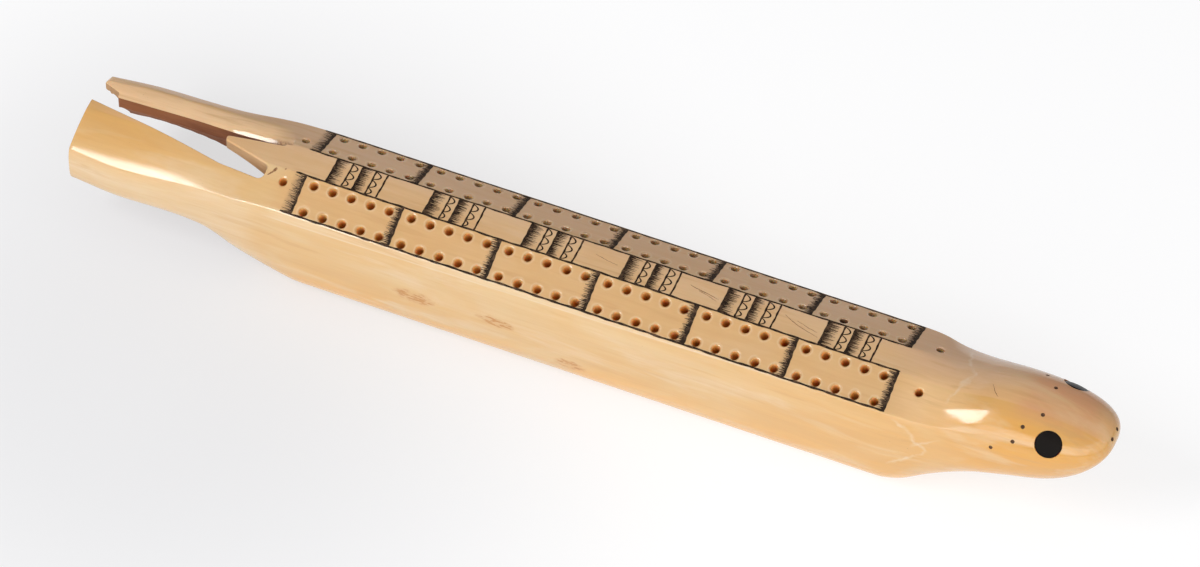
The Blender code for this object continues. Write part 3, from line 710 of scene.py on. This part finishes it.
# The scraped surface: a few long waves press the skin inward by up to the given depth
def handWorked(rings):
    x = rings[..., 0]
    ahead = np.roll(rings, -1, 1) - np.roll(rings, 1, 1)
    normal = unit(np.stack([ahead[..., 2], -ahead[..., 1]], -1))
    centre = rings[..., 1:].mean(1, keepdims=True)
    outward = np.sign(((rings[..., 1:] - centre) * normal).sum(-1, keepdims=True))
    bearing = np.arctan2(rings[..., 1] - centre[..., 0], rings[..., 2] - centre[..., 1])
    waves = (np.sin(x * 145 + 2 * np.cos(bearing)) + np.sin(x * 263 - 3 * np.sin(bearing) + 1.1)
             + 0.7 * np.sin(x * 431 + 5 * np.cos(bearing + 0.6)) + 0.5 * np.sin(4 * bearing + x * 60))
    depth = bodyShape["handWork"] * (0.5 + waves / 6.4)
    shaped = rings.copy()
    shaped[..., 1:] -= normal * outward * depth[..., None]
    shaped[..., 2] = np.maximum(shaped[..., 2], 0)
    return shaped


tailEnd = -halfBoard - bodyShape["tailLength"]
noseTip = halfBoard + bodyShape["headLength"]
muzzle = halfBoard + bodyShape["headLength"] * bodyShape["muzzleStart"]
ringX = np.concatenate([
    tailEnd + bodyShape["endRounding"] * np.array([0, 0.02, 0.12, 0.35, 1]),
    np.linspace(tailEnd + 0.0015, -halfBoard, bodyShape["tailRings"]),
    np.linspace(-halfBoard, halfBoard, bodyShape["boardRings"])[1:],
    np.linspace(halfBoard, muzzle, bodyShape["neckRings"])[1:],
    muzzle + (noseTip - muzzle) * (1 - (1 - np.linspace(0, 0.985, bodyShape["muzzleRings"])[1:]) ** 2.2),
])
rings = handWorked(bodyRings(ringX))
# the rings at the tail's end are drawn in, so that its edge is rounded
endCentre = rings[:5].mean(1, keepdims=True)
endInset = bodyShape["endRounding"] * np.array([1, 0.72, 0.4, 0.12, 0])
halfSize = np.abs(rings[:5] - endCentre)[..., 1:].max((1, 2))
rings[:5] = endCentre + (rings[:5] - endCentre) * (1 - endInset / halfSize)[:, None, None]
print("body rings", rings.shape)

# Height of the back over a grid of x and y, read from the rings' upper halves
upperCount = sum(bodyShape[label] for label in ("stripPoints", "edgePoints", "panelPoints", "sidePoints"))
acrossY = np.linspace(-halfWidth, halfWidth, bodyShape["gridColumns"])
upper = np.concatenate([rings[:, -upperCount + 1:], rings[:, :upperCount]], 1)
heightRows = np.stack([np.interp(acrossY, row[:, 1], row[:, 2]) for row in upper])


# The height there, mixed straight between the four nearest places of the grid
def backHeight(x, y):
    i = np.clip(np.searchsorted(ringX, x) - 1, 0, len(ringX) - 2)
    t = np.clip((x - ringX[i]) / (ringX[i + 1] - ringX[i]), 0, 1)
    j = np.clip((y - acrossY[0]) / (acrossY[1] - acrossY[0]), 0, len(acrossY) - 1.001)
    k = j.astype(int)
    u = j - k
    low = heightRows[i, k] * (1 - u) + heightRows[i, k + 1] * u
    high = heightRows[i + 1, k] * (1 - u) + heightRows[i + 1, k + 1] * u
    return low * (1 - t) + high * t


# Point and outward direction on the skin of the head. place is a share of the head's
# length and of the way round from the middle of the back to the widest line.
def headSkin(place, around, side):
    x = halfBoard + bodyShape["headLength"] * place
    step, turn = 0.0004, 0.04

    def at(along, around):
        share, y, z = upperQuarter(sectionSizes(np.array([along])))
        return np.array([along, side * np.interp(around, share[0], y[0]), np.interp(around, share[0], z[0])])

    along = at(min(x + step, noseTip - 1e-5), around) - at(x - step, around)
    across = at(x, around + turn) - at(x, around - turn)
    return at(x, around), unit(np.cross(along, across) * side)


# Cuts into the body

slotCorners = (
    (1.1, 0.0, 0.0), (0.617, -0.30, 0.030), (0.368, -0.47, 0.014), (0.172, -0.52, 0.0016),
    (0.168, -0.29, 0.0010), (0.385, -0.075, 0.0008), (0.395, 0.03, 0.0008), (0.148, 0.17, 0.0005),
    (0.142, 0.265, 0.0006), (0.92, 0.238, 0.0), (0.925, 0.33, 0.0006), (1.0, 0.43, 0.0006),
    (1.1, 0.45, 0.0),
)
wander = np.random.default_rng(11)


# Peg holes in two rows a section on each panel, and the starting holes past both ends
def holePlaces():
    c = cutSizes
    inSection = c["holeEndMargin"] + np.arange(c["holesPerRow"]) * holeSpacing
    x = (dividerPlaces[:-1, None] + inSection).ravel()
    grid = np.stack(np.meshgrid(x, holeRows, indexing="ij"), -1).reshape(-1, 2)
    starts = [(-halfBoard - c["startTail"], c["startSide"]), (halfBoard + c["startHead"], c["startSide"])]
    left = np.concatenate([grid, starts])
    both = np.concatenate([left, left * (1, -1)])
    return both + wander.uniform(-1, 1, both.shape) * c["holeWander"]


# Each drill is a turned shape: conical tip, straight wall, then a worn flare at the skin
def drillHoles():
    r, deep = cutSizes["holeRadius"], cutSizes["holeDepth"]
    x, y = holePlaces().T
    reach = 0.0016
    slopes = [(backHeight(x + dx, y + dy) - backHeight(x - dx, y - dy)) / (2 * reach)
              for dx, dy in ((reach, 0), (0, reach))]
    axes = np.column_stack([-slopes[0], -slopes[1], np.ones(len(x))])
    profile = [(0.00005, -deep), (r * 0.97, -deep + 0.0006), (r, -0.0005), (r * 1.02, -0.00026),
               (r * 1.10, -0.00012), (r * 1.25, -0.00004), (r * 1.5, 0.00005), (r * 1.5, 0.002)]
    points = np.column_stack([x, y, backHeight(x, y)])
    rows = turnedRings(points, axes, profile, cutSizes["drillSides"])
    return ringMesh("pegDrills", rows, boreIvory, polishedIvory, bands=[(0, 0, 0, 1, 1, 1, 1)])


# Shallow pits in the brow and the nose: low cone, straight wall, slightly flared mouth
def drillSpots():
    r, deep = cutSizes["spotRadius"], cutSizes["spotDepth"]
    seats = [headSkin(place, around, side) for place, around in cutSizes["spots"] for side in (1, -1)]
    points, axes = map(np.array, zip(*seats))
    profile = [(r * 0.1, -deep), (r * 0.8, -deep * 0.8), (r, -0.0001), (r * 1.15, 0.00003), (r * 1.2, 0.002)]
    rows = turnedRings(points, axes, profile, cutSizes["spotSides"])
    return ringMesh("spotDrills", rows, pitBrown)


# Where an eye's node says that the disc is: the middle of its top, its axis and its radius
def eyeSeat(node):
    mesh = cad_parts[node].data
    points = np.empty(len(mesh.vertices) * 3)
    mesh.vertices.foreach_get("co", points)
    points = np.unique(points.reshape(-1, 3).round(7), axis=0)
    middle = (points.min(0) + points.max(0)) / 2
    axis = np.linalg.svd(points - points.mean(0))[2][2]
    axis = axis * np.sign(axis[1] * middle[1])
    reach = (points - middle) @ axis
    radius = np.linalg.norm(points - middle - np.outer(reach, axis), axis=1).max()
    return points[reach.argmax()], axis, radius


# Flat-bottomed sockets a little wider than the eyes' discs, with a slightly flared rim
def cutSockets():
    points, axes, radii = map(np.array, zip(eyeSeat("left_eye"), eyeSeat("right_eye")))
    r, deep = radii[0] + cutSizes["socketGap"], cutSizes["eyeDepth"]
    profile = [(r * 0.2, -deep), (r, -deep), (r, -0.0007), (r + 0.00004, -0.0003), (r + 0.00012, 0.004)]
    rows = turnedRings(points, axes, profile, cutSizes["socketSides"])
    return ringMesh("eyeSockets", rows, boreIvory)


# Corner arcs of the slot's outline, then points evenly spaced along it
def slotOutline(spacing=0.0004):
    corners = np.array(slotCorners) * (-bodyShape["tailLength"], halfWidth, 1) - (halfBoard, 0, 0)
    line = []
    for k in range(len(corners)):
        corner, radius = corners[k, :2], corners[k, 2]
        if radius == 0:
            line.append(corner)
            continue
        before = unit(corners[k - 1, :2] - corner)
        after = unit(corners[(k + 1) % len(corners), :2] - corner)
        half = np.arccos(np.clip(before @ after, -1, 1)) / 2
        centre = corner + unit(before + after) * radius / sin(half)
        first = corner + before * radius / tan(half) - centre
        last = corner + after * radius / tan(half) - centre
        start = atan2(first[1], first[0])
        sweep = (atan2(last[1], last[0]) - start + pi) % (2 * pi) - pi
        turn = start + sweep * np.linspace(0, 1, 9)
        line += list(centre + radius * np.column_stack([np.cos(turn), np.sin(turn)]))
    line = np.array(line + line[:1])
    path = np.concatenate([[0], np.cumsum(np.linalg.norm(np.diff(line, axis=0), axis=1))])
    even = np.linspace(0, path[-1], int(path[-1] / spacing), endpoint=False)
    return np.column_stack([np.interp(even, path, line[:, 0]), np.interp(even, path, line[:, 1])])


# The slot's wall goes straight up, then opens out along the skin as a rounded edge
def cutSlot():
    outline = slotOutline()
    x, y = outline.T
    ahead = np.roll(outline, -2, 0) - np.roll(outline, 2, 0)
    outward = unit(np.column_stack([ahead[:, 1], -ahead[:, 0]]))
    outward *= np.sign((x * np.roll(y, -1) - np.roll(x, -1) * y).sum())
    bottom = bodyShape["boardHeight"] - cutSizes["slotDepth"]
    rows = [np.column_stack([outline, np.full(len(outline), bottom)])]
    soft = cutSizes["slotEdge"]
    for drop, out in ((1.6, 0.0), (0.95, 0.08), (0.5, 0.25), (0.2, 0.5), (0.0, 0.8), (-0.1, 1.0)):
        edge = outline + outward * out * soft
        height = backHeight(np.maximum(edge[:, 0], tailEnd + 0.001), edge[:, 1])
        rows.append(np.column_stack([edge, height - drop * soft]))
    rows.append(np.column_stack([edge, np.full(len(outline), cutterTop)]))
    return ringMesh("flipperSlot", [np.array(rows)], sawnIvory, polishedIvory, bands=[(0, 0, 1, 1, 1, 1, 1)])


# The worn lip of the left flipper: from the slot's wall out to lipWidth the skin is pared down
# by lipDepth times a fall that is nearly straight on the flipper and round near its root
def cutLip():
    c = cutSizes
    x = np.linspace(tailEnd - 0.001, c["lipEnd"], c["lipRows"])
    near, far = slotCorners[8], slotCorners[9]
    share = -(x + halfBoard) / bodyShape["tailLength"]
    wall = halfWidth * np.interp(share, (near[0], far[0]), (near[1], far[1]))
    root = np.clip((x + 0.118) / 0.012, 0, 1)[:, None]
    run = np.clip((x - c["lipEnd"]) / c["lipClosing"] + 1, 0, 1)
    closing = np.sqrt(np.clip(1 - run ** 2, 0.0009, 1))[:, None]
    wave = 1 + 0.06 * np.sin(x * 310)[:, None] + 0.04 * np.sin(x * 730 + 1)[:, None]
    t = np.linspace(-0.06, 1, c["lipColumns"])
    rest = 1 - np.maximum(t, 0)
    fall = (1 - root) * rest ** 1.15 + root * (1 - np.sqrt(1 - rest ** 2))
    width = c["lipWidth"] * np.interp(x, (tailEnd, tailEnd + 0.018), (0.70, 1.0))[:, None]
    y = wall[:, None] + t * width * closing * wave
    skin = backHeight(np.clip(x, tailEnd + 0.001, None)[:, None] + 0 * y, y)
    z = skin - (c["lipDepth"] + root * c["rootDepth"]) * fall * closing ** 0.4 + 0.00004 * (t == 1)
    floor = np.stack([x[:, None] + 0 * y, y, z], -1)
    inner = floor[:, :1] - (0, 0.0008, 0)
    roof = np.concatenate([floor[:, ::-1], inner], 1) * (1, 1, 0) + (0, 0, cutterTop)
    return ringMesh("flipperLip", [np.concatenate([inner, floor, roof], 1)], polishedIvory)


# Oval bore under the flippers: half width (section - wall)(1 - run^8)^0.4, opening a
# little at the mouth, with shallow gouge marks
def cutHollow():
    c = cutSizes
    start, end = tailEnd - 0.006, -halfBoard - c["hollowEnd"]
    run = np.sin(np.linspace(0, radians(88.5), c["hollowRows"]))
    closing = (1 - run ** 8)[:, None]
    x = start + (end - start) * run
    sizes = sectionSizes(x)
    turn = np.linspace(0, 2 * pi, c["hollowSides"], endpoint=False)
    crown = bodyShape["boardHeight"] - c["hollowRoof"] - c["hollowAxis"]
    mouth = 0.0005 * np.exp(-np.maximum(x - tailEnd, 0) / 0.0004)[:, None]
    gouge = 0.00010 * np.sin(9 * turn + 40 * np.sin(x * 30)[:, None]) * np.sin(x * 700)[:, None]
    across = (sizes["halfWidth"] - c["hollowWall"])[:, None] * closing ** 0.4 + mouth + gouge
    high = crown * closing ** 0.15 + mouth + gouge
    rows = np.stack([x[:, None] + 0 * across, sizes["lean"][:, None] + across * np.sin(turn),
                     c["hollowAxis"] + high * np.cos(turn)], -1)
    return ringMesh("tailHollow", [rows], hollowIvory)


# Round bore along x below the tongue, so that it hangs free over the hollow
def cutTongueRelief():
    r = cutSizes["reliefRadius"]
    root = -halfBoard - bodyShape["tailLength"] * slotCorners[4][0] + cutSizes["rootUndercut"]
    length = bodyShape["tailLength"] * (slotCorners[6][0] - slotCorners[4][0]) + 0.006
    y = halfWidth * (slotCorners[4][1] + slotCorners[7][1]) / 2
    z = bodyShape["boardHeight"] - cutSizes["tongueThickness"] - r
    radius, height = np.array([(r * 0.1, 0.0), (r * 0.8, -0.0004), (r, -0.0016), (r, -length)]).T[..., None]
    turn = np.linspace(0, 2 * pi, cutSizes["reliefSides"], endpoint=False)
    rows = np.stack([root + height + 0 * turn, y + radius * np.cos(turn), z + radius * np.sin(turn)], -1)
    return ringMesh("tongueRelief", [rows], hollowIvory)


# The break under the tip of the left flipper: a block whose roof is rough and whose end
# slopes down and forward
def cutChip():
    c = cutSizes
    roofZ = sectionSizes(np.array([tailEnd]))["back"][0] - roofDrop / 2 - c["chipTip"]
    x = np.linspace(-0.004, c["chipLength"] + 0.0022, c["chipRows"])[:, None]
    y = np.linspace(0.0, halfWidth + 0.001, c["chipColumns"])
    slope = np.clip((x - c["chipLength"] + 0.0012) / 0.0034, 0, 1)
    ceiling = roofZ + 0.0002 * np.sin(x * 2600) + 0.00015 * np.sin(x * 5300 + 1)
    ceiling = ceiling - slope ** 1.3 * (roofZ - 0.012)
    rough = 0.00022 * np.sin(y * 2900 + 2) * np.sin(x * 1900) + 0.00012 * np.sin(y * 5200 + x * 3000)
    topRow = np.stack([tailEnd + x + rough, y + 0 * rough, ceiling + rough], -1)
    floorRow = topRow[:, ::-1].copy()
    floorRow[..., 2] = -0.001
    return ringMesh("flipperChip", [np.concatenate([topRow, floorRow], 1)], brokenIvory)


# The body less the cutters, one after another
def carved(body, cutters):
    for cutter in cutters:
        modifier = body.modifiers.new(cutter.name, "BOOLEAN")
        modifier.operation = "DIFFERENCE"
        modifier.solver = "EXACT"
        modifier.material_mode = "TRANSFER"
        modifier.object = cutter
    bpy.context.view_layer.update()
    evaluated = body.evaluated_get(bpy.context.evaluated_depsgraph_get())
    mesh = bpy.data.meshes.new_from_object(evaluated)
    body.modifiers.clear()
    body.data = mesh
    for cutter in cutters:
        bpy.data.objects.remove(cutter)


sealBody = ringMesh("ivorySeal", [rings], polishedIvory)
carved(sealBody, [cutHollow(), cutSlot(), cutLip(), cutTongueRelief(), cutChip(), drillHoles(), drillSpots(),
                  cutSockets()])
sealBody.data.name = "ivorySeal"
sealBody.data.polygons.foreach_set("use_smooth", [True] * len(sealBody.data.polygons))
sealBody.data.set_sharp_from_angle(angle=bodyShape["sharpAngle"])
weighted = sealBody.modifiers.new("weighted", "WEIGHTED_NORMAL")
weighted.keep_sharp = True
weighted.weight = bodyShape["cornerWeight"]
print("body cut:", len(sealBody.data.polygons), "faces")


# Inlaid eyes

eyeShape = {
    "domeRadius": 0.016, "thickness": 0.0025, "edgeRounding": 0.00018, "sides": 64,
    "black": (0.003, 0.0025, 0.003), "dulled": (0.014, 0.011, 0.009), "scratched": (0.09, 0.08, 0.07),
}


# Near black, dulled in patches and along the scratches
def makeEyeBlack():
    e = eyeShape
    material, shader, place = startMaterial("eyeBlack", 0.4, 0.05)
    scratches, _, polish = placeGroup(wearGroup, place, Amount=1.0).values()
    colour = mixColour(scratches * 0.35, mixColour(polish, e["black"], e["dulled"]), e["scratched"])
    dress(shader, colour, polish.ramp(0.3, 0.7, 0.26, 0.42) + scratches * 0.2, scratches, -0.15, 0.00015)
    return material


# Domed disc turned about the socket's axis, with a softened rim
def makeEye(name, node):
    top, axis, radius = eyeSeat(node)
    dome, thick, soft = (eyeShape[label] for label in ("domeRadius", "thickness", "edgeRounding"))
    profile = [(0.00003, 0.0)]
    for share in np.linspace(0.08, 1, 12):
        across = (radius - soft) * share
        profile.append((across, -(dome - (dome ** 2 - across ** 2) ** 0.5)))
    fall = -profile[-1][1]
    for turn in np.linspace(0.25, 1, 4) * pi / 2:
        profile.append((radius - soft + soft * sin(turn), -fall - soft * (1 - cos(turn))))
    profile += [(radius, -thick + soft), (radius - soft, -thick), (0.00003, -thick)]
    return ringMesh(name, turnedRings(top, axis, profile, eyeShape["sides"]), eyeBlack)


eyeBlack = makeEyeBlack()
leftEye = makeEye("leftEyeDisc", "left_eye")
rightEye = makeEye("rightEyeDisc", "right_eye")
print("eyes set")


# Engraved and inked lines

panelBands = [sorted((side * (halfStrip + 0.0001), side * (halfRoof - 0.0003))) for side in (-1, 1)]


# Unit directions across the given ones, to their left
def acrossOf(directions):
    return unit(np.stack([-directions[..., 1], directions[..., 0]], -1))


# A stroke is a shallow keel: left edge, crest and right edge on the skin, and a bottom
# under it, along each path. paths[stroke, point] holds x and y, widths the full width.
def strokeRings(paths, widths):
    sideways = acrossOf(np.gradient(paths, axis=1)) * widths[..., None] / 2
    proud = inkLook["proud"]
    rows = []
    edge = inkLook["sideLift"] * proud
    for side, lift in ((1, edge), (0, proud), (-1, edge), (0, -inkLook["cutDepth"])):
        spot = paths + side * sideways
        height = backHeight(spot[..., 0], spot[..., 1]) + lift
        rows.append(np.concatenate([spot, height[..., None]], -1))
    return np.stack(rows, 2)


# Straight strokes with a hand's bend and taper: from start to start + reach
def ticks(starts, reaches, width, points=4, bend=0.00008):
    t = np.linspace(0, 1, points)[None, :, None]
    bow = wander.uniform(-bend, bend, (len(starts), 1, 1))
    paths = starts[:, None] + reaches[:, None] * t + acrossOf(reaches)[:, None] * bow * np.sin(pi * t)
    taper = np.linspace(1, 0.25, points)
    return strokeRings(paths, width * taper * wander.uniform(0.7, 1.25, (len(starts), 1)))


# Long ruled lines between pairs of ends, evenly divided, path and width wavering a little
def ruled(ends, width, points):
    ends = np.asarray(ends, float)
    t = np.linspace(0, 1, points)
    paths = ends[:, :1] * (1 - t)[None, :, None] + ends[:, 1:] * t[None, :, None]
    shake = np.sin(t * points * 0.9 + np.arange(len(ends))[:, None]) + np.sin(t * points * 0.37 + 2)
    paths = paths + acrossOf(ends[:, 1] - ends[:, 0])[:, None] * (0.00004 * shake)[..., None]
    widths = width * (1 + 0.18 * np.sin(t * points * 1.3 + 1)) * np.where((t == 0) | (t == 1), 0.5, 1)
    return strokeRings(paths, widths)


# Along both edges of the strip and both outer edges of the panels, a little past the board
def borderLines():
    edge = halfRoof - 0.00005
    ends = [((-halfBoard - 0.0029, y), (halfBoard + 0.0004, y)) for y in (-halfStrip, halfStrip)]
    ends += [((-halfBoard - 0.0031, y), (halfBoard + 0.0003, y)) for y in (-edge, edge)]
    return ruled(ends, inkLook["lineWidth"], 170)


# Across both panels at every end of a section
def dividerLines():
    ends = [((x, side * halfStrip), (x, side * halfRoof)) for x in dividerPlaces for side in (-1, 1)]
    return ruled(ends, inkLook["lineWidth"] * 1.25, 22)


# Across the strip at five places in a section, each end a little off
def crossLines():
    ends = [[(start + offset + wander.uniform(-1, 1) * 0.00012, y) for y in (-halfStrip, halfStrip)]
            for start in dividerPlaces[:-1] for offset in inkLook["crossLines"]]
    return ruled(ends, inkLook["crossWidth"], 16)


# Fringe of short strokes on one side of a line that runs across the board at x
def fringe(x, low, high, count, shortest, longest, width, slant):
    y = np.linspace(low, high, count) + wander.uniform(-0.5, 0.5, count) * (high - low) / count
    length = wander.uniform(shortest, longest, count)
    starts = np.column_stack([np.full(count, x), np.clip(y, low, high)])
    lean = wander.uniform(-slant, slant, count) * np.abs(length)
    room = np.clip(starts[:, 1] + lean, low, high) - starts[:, 1]
    return ticks(starts, np.column_stack([length, room]), width)


# Every kind of fringe on every panel, at each place in turn
def panelFringes(places, kinds):
    return np.concatenate([fringe(x, low, high, *kind)
                           for x in places for low, high in panelBands for kind in kinds])


# Short dense strokes and longer thin ones from two lines of every section, along the strip
def stripHatching():
    edge = halfStrip - 0.0001
    made = []
    for start in dividerPlaces[:-1]:
        for line, longest in ((0, 0.0036), (2, 0.0030)):
            x = start + inkLook["crossLines"][line]
            made.append(fringe(x, -edge, edge, 38, 0.0007, 0.0017, 0.00033, 0.06))
            made.append(fringe(x, -edge, edge, 34, longest * 0.5, longest, 0.00027, 0.06))
    return np.concatenate(made)


# Three scallops on the far side of a cross line: x bulges as a half wave of y
def scallops():
    t = np.linspace(0, 1, 12)
    paths = []
    for start in dividerPlaces[:-1]:
        for line in (1, 3):
            x = start + inkLook["crossLines"][line]
            for low, high, reach in inkLook["scallops"]:
                bulge = reach * wander.uniform(0.85, 1.1) * np.sin(pi * t) ** 0.8
                paths.append(np.column_stack([x + bulge, low + (high - low) * t]))
    widths = inkLook["scallopWidth"] * (0.6 + 0.6 * np.sin(pi * t))
    return strokeRings(np.array(paths), widths)


# Hair cracks and scratches full of brown dirt: bent strokes through a few places in x and y
def hairCracks():
    paths, count = [], inkLook["crackPoints"]
    for _, places in inkLook["cracks"]:
        path = np.linspace(0, len(places) - 1, count)
        line = np.column_stack([np.interp(path, range(len(places)), values) for values in np.array(places).T])
        paths.append(line + wander.uniform(-1, 1, line.shape) * inkLook["crackShake"])
    shares = np.array([share for share, _ in inkLook["cracks"]])[:, None]
    taper = 0.35 + 0.65 * np.sin(pi * np.linspace(0.04, 0.96, count))
    return strokeRings(np.array(paths), shares * (inkLook["crackWidth"] * taper))


# What fills a stroke: dark where the noise is low, worn to light above it
def makeFilling(name, specular, scale, worn, dark, light, roughness, scratched=None):
    material, shader, place = startMaterial(name, 0.6, specular)
    noise = noiseIn(place, scale, 3.0, 0.6)
    colour = mixColour(noise.rise(*worn), dark, light)
    if scratched:
        scratches = placeGroup(wearGroup, place, Amount=1.0)["Scratches"]
        colour = mixColour(scratches * 0.5, colour, scratched)
    dress(shader, colour, noise.ramp(0.3, 0.7, *roughness), noise, 0.3, 0.0001)
    return material


scrimshawInk = makeFilling("scrimshawInk", 0.12, 900.0, (0.42, 0.72), (0.024, 0.014, 0.008),
                           (0.105, 0.060, 0.034), (0.42, 0.62), scratched=(0.22, 0.15, 0.10))
crackBrown = makeFilling("crackBrown", 0.15, 1100.0, (0.35, 0.65), (0.19, 0.085, 0.036),
                         (0.42, 0.22, 0.10), (0.5, 0.7))


strokeSets = (borderLines(), dividerLines(), crossLines(),
              panelFringes(dividerPlaces[1:], inkLook["dividerFringe"]),
              panelFringes(dividerPlaces[:1], inkLook["firstFringe"]),
              stripHatching(), scallops(), hairCracks())
inkLines = ringMesh("inkedLines", strokeSets, scrimshawInk, crackBrown, bands=[(0,)] * 7 + [(1,)])
inkLines.data.set_sharp_from_angle(angle=inkLook["sharpAngle"])
print("ink:", len(inkLines.data.polygons), "faces")

for piece, slot in ((sealBody, "ivory"), (inkLines, "eye_black"),
                    (leftEye, "eye_black"), (rightEye, "eye_black")):
    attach(piece, "root")
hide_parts("seal_body")
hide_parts("left_eye")
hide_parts("right_eye")


# Floor, light and camera

studio = {
    "azimuth": 22.88, "elevation": 51.74, "distance": 2.0, "lens": 229.32,
    "aside": 0.0015175, "above": 0.006044,
    "floorSize": 4.0, "floor": (0.36, 0.36, 0.365), "floorGlow": (0.70, 0.70, 0.702),
    "paintedShadowGrey": (0.49, 0.49, 0.497), "shadowPlace": (-0.110, -0.060, 0.0), "shadowRadius": 0.19, "sky": 0.30,
    # azimuth, elevation, distance, width, height, watts, and the turn about its own axis
    "lights": {
        "tallPanel": (-38.5, 49, 0.9, 0.20, 0.44, 3.3, 35),
        "frontPanel": (14, 26, 2.2, 2.6, 1.3, 22.5, 0),
        "sidePanel": (72, 30, 1.6, 1.2, 1.2, 5.0, 0),
        "overhead": (0, 80, 1.6, 1.4, 1.4, 1.3, 0),
    },
}


# White table lit a little from within, with a painted soft shadow of the carving at the front left
def makeFloor():
    material, shader, place = startMaterial("paleFloor", 0.9, 0.0)
    low = tuple(value * 0.97 for value in studio["floor"])
    away = shader["Normal"].id_data.nodes.new("ShaderNodeVectorMath")
    away.operation = "DISTANCE"
    feed(away.inputs[0], place)
    feed(away.inputs[1], studio["shadowPlace"])
    # painted shadow: the floor's glow is dimmed round one place near the tail
    patch = Signal(away.outputs["Value"]).fall(0.02, studio["shadowRadius"])
    feedAll(shader, **{"Base Color": mixColour(noiseIn(place, 3.0, 2.0), low, studio["floor"]),
                       "Emission Color": mixColour(patch, studio["floorGlow"], studio["paintedShadowGrey"]),
                       "Emission Strength": 1.0})
    reach = studio["floorSize"]
    mesh = bpy.data.meshes.new("floor")
    mesh.from_pydata([(-reach, -reach, 0), (reach, -reach, 0), (reach, reach, 0), (-reach, reach, 0)], [],
                     [(0, 1, 2, 3)])
    mesh.materials.append(material)
    newThing("floor", mesh)


# Unit direction out to an azimuth from the front and an elevation, in degrees
def direction(azimuth, elevation):
    a, e = radians(azimuth), radians(elevation)
    return Vector((sin(a) * cos(e), -cos(a) * cos(e), sin(e)))


# Rectangular panel that looks at the origin
def softLight(name, azimuth, elevation, distance, width, height, watts, lean):
    light = bpy.data.lights.new(name, "AREA")
    light.shape = "RECTANGLE"
    light.size = width
    light.size_y = height
    light.energy = watts
    lamp = newThing(name, light)
    back = direction(azimuth, elevation)
    lamp.location = back * distance
    lamp.rotation_mode = "QUATERNION"
    lamp.rotation_quaternion = back.to_track_quat("Z", "Y") @ Quaternion((0, 0, 1), radians(lean))


# Even white light from all round
def makeWorld():
    world = bpy.data.worlds.new("softRoom")
    world.use_nodes = True
    feedAll(world.node_tree.nodes["Background"].inputs, Color=(1.0, 1.0, 1.0), Strength=studio["sky"])
    bpy.context.scene.world = world


# Long lens at the photo's angle, looking at the board's top and moved a little aside
def makeCamera():
    a, e = radians(studio["azimuth"]), radians(studio["elevation"])
    right = Vector((cos(a), sin(a), 0))
    up = Vector((-sin(a) * sin(e), cos(a) * sin(e), cos(e)))
    back = direction(studio["azimuth"], studio["elevation"])
    data = bpy.data.cameras.new("camera")
    data.sensor_width = 36.0
    data.lens = studio["lens"]
    data.clip_start = 0.1
    data.clip_end = 20.0
    target = Vector((0, 0, bodyShape["boardHeight"]))
    place = target + back * studio["distance"] - right * studio["aside"] - up * studio["above"]
    camera = newThing("camera", data)
    camera.matrix_world = Matrix.Translation(place) @ Matrix((right, up, back)).transposed().to_4x4()
    bpy.context.scene.camera = camera


makeFloor()
makeWorld()
for name, values in studio["lights"].items():
    softLight(name, *values)
makeCamera()
bpy.context.scene.view_settings.view_transform = "Standard"
bpy.context.scene.view_settings.look = "None"
print("studio set")
